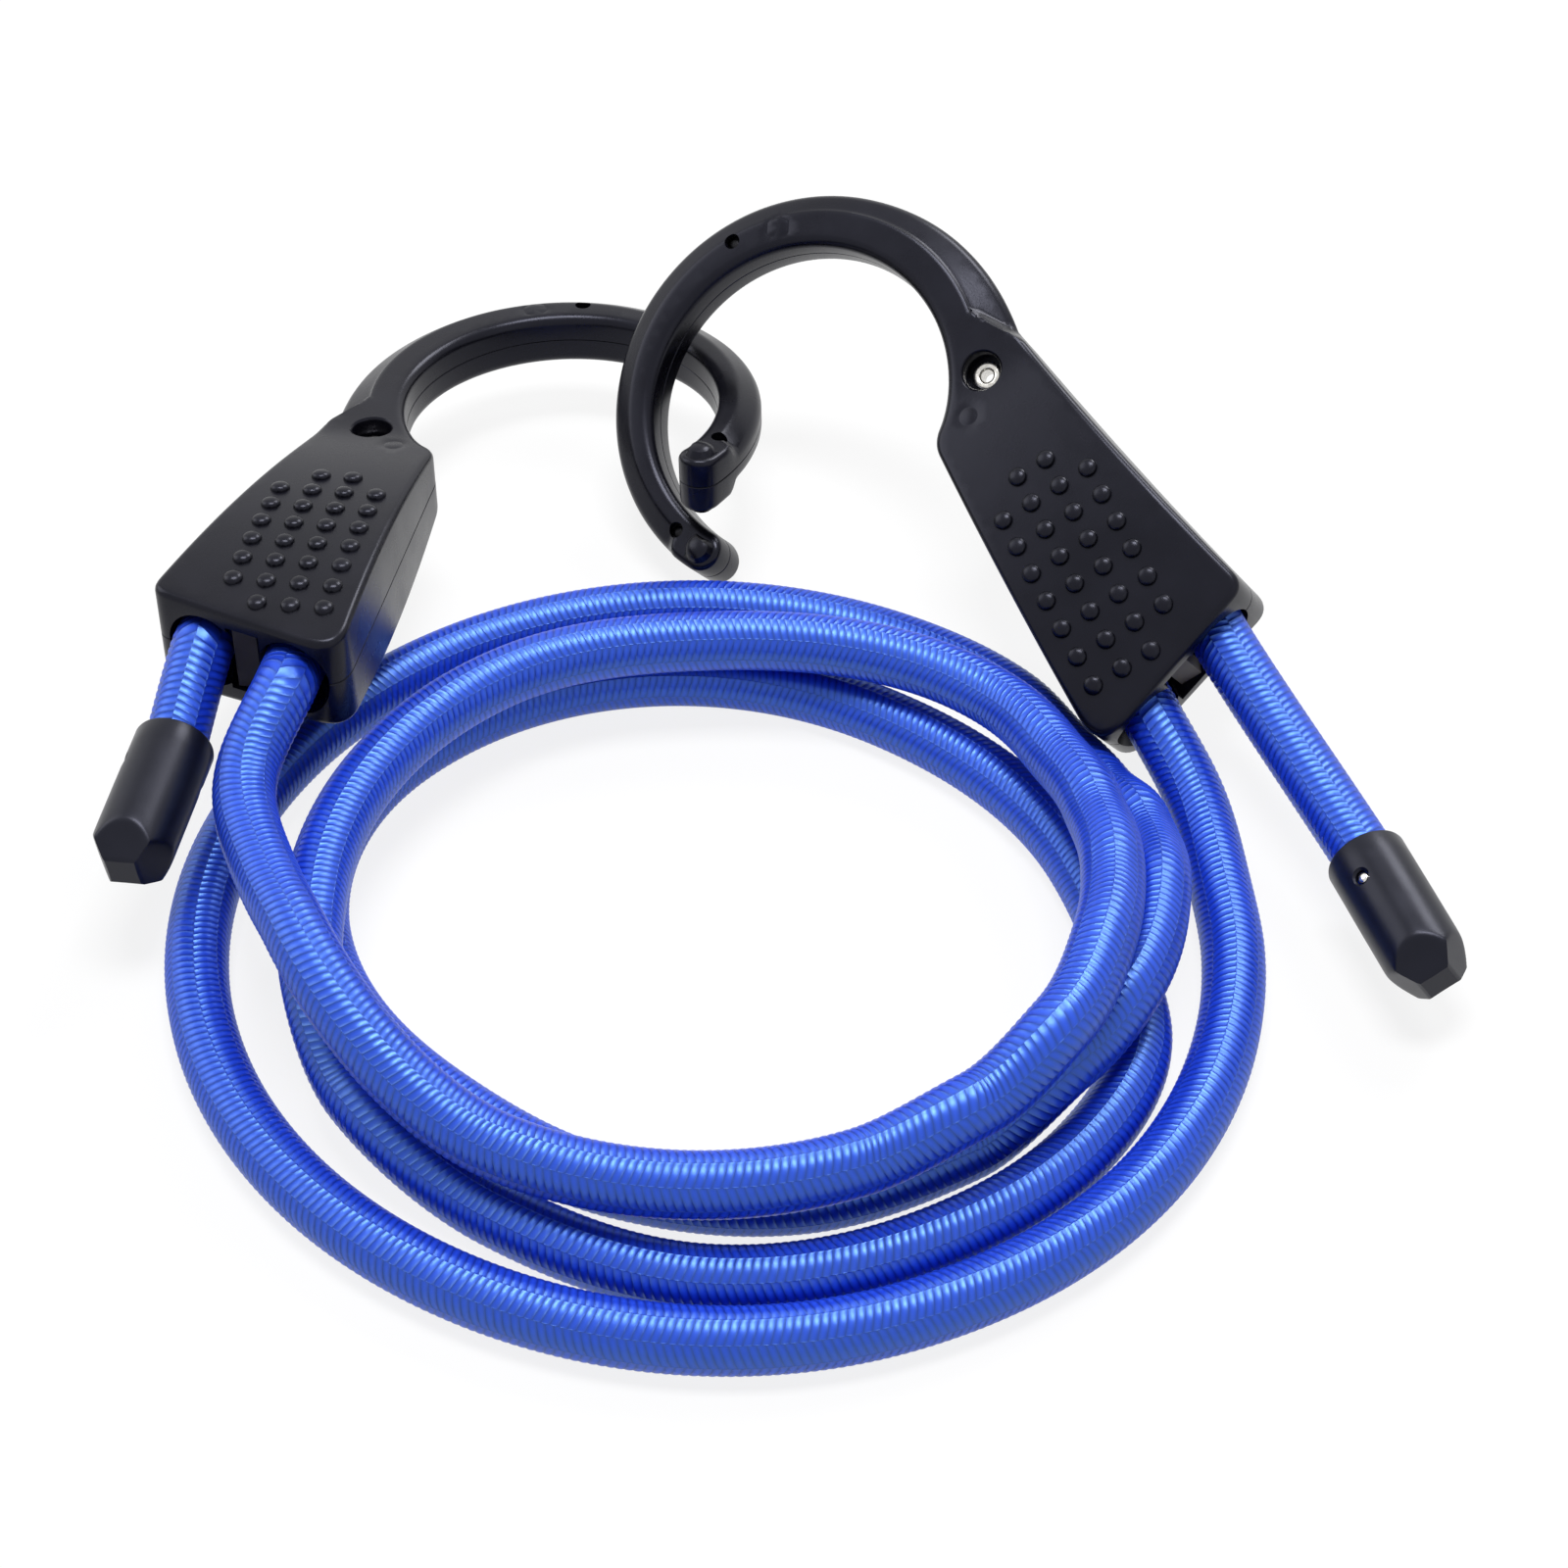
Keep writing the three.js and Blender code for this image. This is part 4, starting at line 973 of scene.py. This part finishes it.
def cap_solid():
    """A cap about z, its rim at zero: a socket, a round barrel with a soft rim, a nose cut to four soft
    flats."""
    sides, socket = CAP_SIDES, LANE_RADIUS
    rows = [(socket - 0.02, CAP_SOCKET), (socket, 0.5), (socket + 0.15, 0.12), (socket + 0.35, 0),
            (CAP_RADIUS - 0.4, 0), (CAP_RADIUS - 0.12, 0.12), (CAP_RADIUS, 0.45)]
    rows += [(CAP_RADIUS, height) for height in (4, 8, 12)]
    nose_rows = round((CAP_NOSE + 1.5) / CAP_ROW)
    rows += [(CAP_RADIUS, CAP_LENGTH - CAP_ROW * i) for i in range(nose_rows, -1, -1)]
    slope = (CAP_RADIUS - CAP_NOSE_HALF) / CAP_NOSE
    points, faces = [(0, 0, CAP_SOCKET)], []
    for radius, height in rows:
        end = CAP_LENGTH - height
        flat = CAP_NOSE_HALF + end * slope
        edge = CAP_END_INSET * (1 - math.sqrt(1 - (1 - min(end, CAP_END_ROUND) / CAP_END_ROUND) ** 2))
        for k in range(sides):
            angle = 2 * math.pi * k / sides
            side = flat / max(abs(math.cos(angle)), abs(math.sin(angle)))
            reach = radius
            if end < CAP_NOSE + 2:
                gap = math.sqrt((radius - side) ** 2 + CAP_FLAT_BLEND)
                reach = min(radius, (radius + side - gap) / 2) - edge
            points.append((reach * math.cos(angle), reach * math.sin(angle), height))
    points.append((0, 0, CAP_LENGTH))
    for i in range(len(rows) - 1):
        for k in range(sides):
            n = (k + 1) % sides
            a, b = 1 + i * sides, 1 + (i + 1) * sides
            faces.append([a + k, a + n, b + n, b + k])
    last = 1 + (len(rows) - 1) * sides
    faces += [[0, 1 + (k + 1) % sides, 1 + k] for k in range(sides)]
    faces += [[last + k, last + (k + 1) % sides, len(points) - 1] for k in range(sides)]
    return points, faces


def pin_hole():
    """The hole for a cap's cross pin, countersunk a little where it breaks out of the barrel."""
    bore, reach, out = CAP_PIN_RADIUS + TOUCH_GAP, CAP_RADIUS - CAP_PIN_SINK, 2 * CAP_RADIUS
    end = [(0, out), (bore + CAP_PIN_LIP, out), (bore + CAP_PIN_LIP, reach + CAP_PIN_LIP), (bore, reach)]
    return turned([(r, -z) for r, z in end] + end[::-1], 32)


def cap_place(side):
    """From a cap's own millimetres to the whole part's."""
    rim, nose = (p + COIL_CENTRE for p in TAILS[side])
    turn = Vector((0, 0, 1)).rotation_difference((nose - rim).normalized()).to_matrix().to_4x4()
    return Matrix.Translation(rim) @ turn @ Matrix.Rotation(math.radians(CAP_ROLL[side]), 4, "Z")


def placed(points, place):
    return [place @ Vector(p) * MM for p in points]


for side, place in HOOK.items():
    body = f"{side}_hook"
    for face, flip in (("front", 1), ("rear", -1)):
        points = [place @ Vector((p.x, p.y, flip * p.z)) * MM for p in half_points]
        faces = half_faces if flip > 0 else [f[::-1] for f in half_faces]
        shell = piece(f"{side}_{face}_shell", points, faces, HOOK_PLASTIC, 32)
        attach(shell, body)
        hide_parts(f"{side}_hook_{face}_half")
    points, faces = rivet_solid()
    rivet = piece(f"{side}_rolled_rivet", placed(points, place), faces, NICKEL)
    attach(rivet, body)
    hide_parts(f"{side}_neck_rivet")
    for pin_name, angle in PIN_ANGLES.items():
        spot = arm_middle(angle)
        points, faces = pin_solid(PIN_RADIUS, ARM_HALF - PIN_RECESS)
        at_spot = place @ Matrix.Translation((spot.x, spot.y, 0))
        pin = piece(f"{side}_{pin_name}_dowel", placed(points, at_spot), faces, BLACK_STEEL)
        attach(pin, body)
        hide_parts(f"{side}_{pin_name}")
    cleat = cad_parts[f"{side}_cord_cleat"]
    cleat.data.materials.clear()
    cleat.data.materials.append(CLEAT_PLASTIC)

for side in TAILS:
    pin_turn = Matrix.Rotation(math.radians(CAP_PIN_TURN[side]), 4, "Z")
    across = (Matrix.Translation((0, 0, CAP_PIN_PLACE)) @ pin_turn @ Matrix.Rotation(math.pi / 2, 4, "Y"))
    points, faces = bored(cap_solid(), pin_hole(), across)
    cap = piece(f"{side}_tail_cap", placed(points, cap_place(side)), faces, CAP_PLASTIC, 30)
    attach(cap, f"{side}_tail")
    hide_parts(f"{side}_end_cap")
    points, faces = pin_solid(CAP_PIN_RADIUS, CAP_RADIUS - CAP_PIN_SINK)
    pin = piece(f"{side}_tail_cap_pin", placed(points, cap_place(side) @ across), faces, NICKEL)
    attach(pin, f"{side}_tail")
    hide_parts(f"{side}_cap_pin")

# What each stretch of cord rides on, and the solid that it stands for.
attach(stretches["coil"], "coil")
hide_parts("cord_coil")
for side in LIE:
    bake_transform(stretches[f"{side}_lead"])
    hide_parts(f"{side}_lead_cord")
    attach(stretches[f"{side}_turn"], f"{side}_hook")
    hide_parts(f"{side}_cord_turn")
    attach(stretches[f"{side}_tail"], f"{side}_tail")
    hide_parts(f"{side}_tail_cord")


# Floor, light and camera

def seen_white(tree):
    """1 where the white surroundings are seen or mirrored, 0 where they only light the object."""
    ray = add(tree, "LightPath")
    seen = add(tree, "Math", {"operation": "ADD"},
               {0: ray.outputs["Is Camera Ray"], 1: ray.outputs["Is Glossy Ray"]})
    seen = add(tree, "Math", {"operation": "ADD"},
               {0: seen.outputs[0], 1: ray.outputs["Is Transmission Ray"]})
    return seen.outputs[0]


def floor_material():
    """Matt white board: it keeps a soft shadow, and shows as white where no shadow falls."""
    material, tree = new_material("matt_white_board")
    board = add(tree, "BsdfDiffuse", {"Color": linear("#f4f4f4")})
    white = add(tree, "Emission", {"Color": linear("#ffffff"), "Strength": 1.0})
    share = add(tree, "Math", {"operation": "MULTIPLY", 1: FLOOR_GLOW}, {0: seen_white(tree)})
    mix = add(tree, "MixShader", links={0: share.outputs[0], 1: board.outputs[0], 2: white.outputs[0]})
    add(tree, "OutputMaterial", links={"Surface": mix.outputs[0]})
    return material


corners = [(x * FLOOR_REACH, y * FLOOR_REACH, 0) for x, y in ((-1, -1), (1, -1), (1, 1), (-1, 1))]
floor = piece("floor", corners, [[0, 1, 2, 3]], floor_material())

world = bpy.data.worlds.new("studio")
bpy.context.scene.world = world
world.use_nodes = True
world.node_tree.nodes.clear()
level = add(world.node_tree, "MapRange", {3: WORLD_LIGHT, 4: 1.0}, {0: seen_white(world.node_tree)})
sky = add(world.node_tree, "Background", {"Color": linear("#ffffff")}, {"Strength": level.outputs[0]})
add(world.node_tree, "OutputWorld", links={"Surface": sky.outputs[0]})


def soft_light(name, place, aim, width, depth, power):
    """A soft box, in metres and watts."""
    lamp = bpy.data.lights.new(name, "AREA")
    lamp.shape = "RECTANGLE"
    lamp.size = width
    lamp.size_y = depth
    lamp.energy = power
    made = bpy.data.objects.new(name, lamp)
    made.location = place
    made.rotation_euler = (Vector(aim) - Vector(place)).to_track_quat("-Z", "Y").to_euler()
    bpy.context.scene.collection.objects.link(made)


soft_light("overhead_softbox", (0, 0.12, 1.2), (0, -0.05, 0), 0.6, 0.35, 13)
soft_light("front_fill", (0.7, -0.9, 0.8), (0, -0.05, 0), 0.8, 0.8, 0.6)
soft_light("left_fill", (-0.95, 0.3, 0.65), (0.05, 0, 0), 0.7, 0.7, 3.5)
soft_light("back_fill", (0.5, 0.8, 0.85), (0, -0.05, 0), 0.5, 0.4, 7)

camera = bpy.data.objects.new("camera", bpy.data.cameras.new("camera"))
camera.location = (COIL_CENTRE + CAMERA_PLACE) * MM
camera.rotation_euler = Euler((math.radians(CAMERA_TILT), 0, 0))
camera.data.lens = CAMERA_LENS
camera.data.sensor_width = CAMERA_SENSOR
camera.data.clip_start = 0.01
bpy.context.scene.collection.objects.link(camera)
bpy.context.scene.camera = camera
bpy.context.scene.view_settings.view_transform = "Standard"
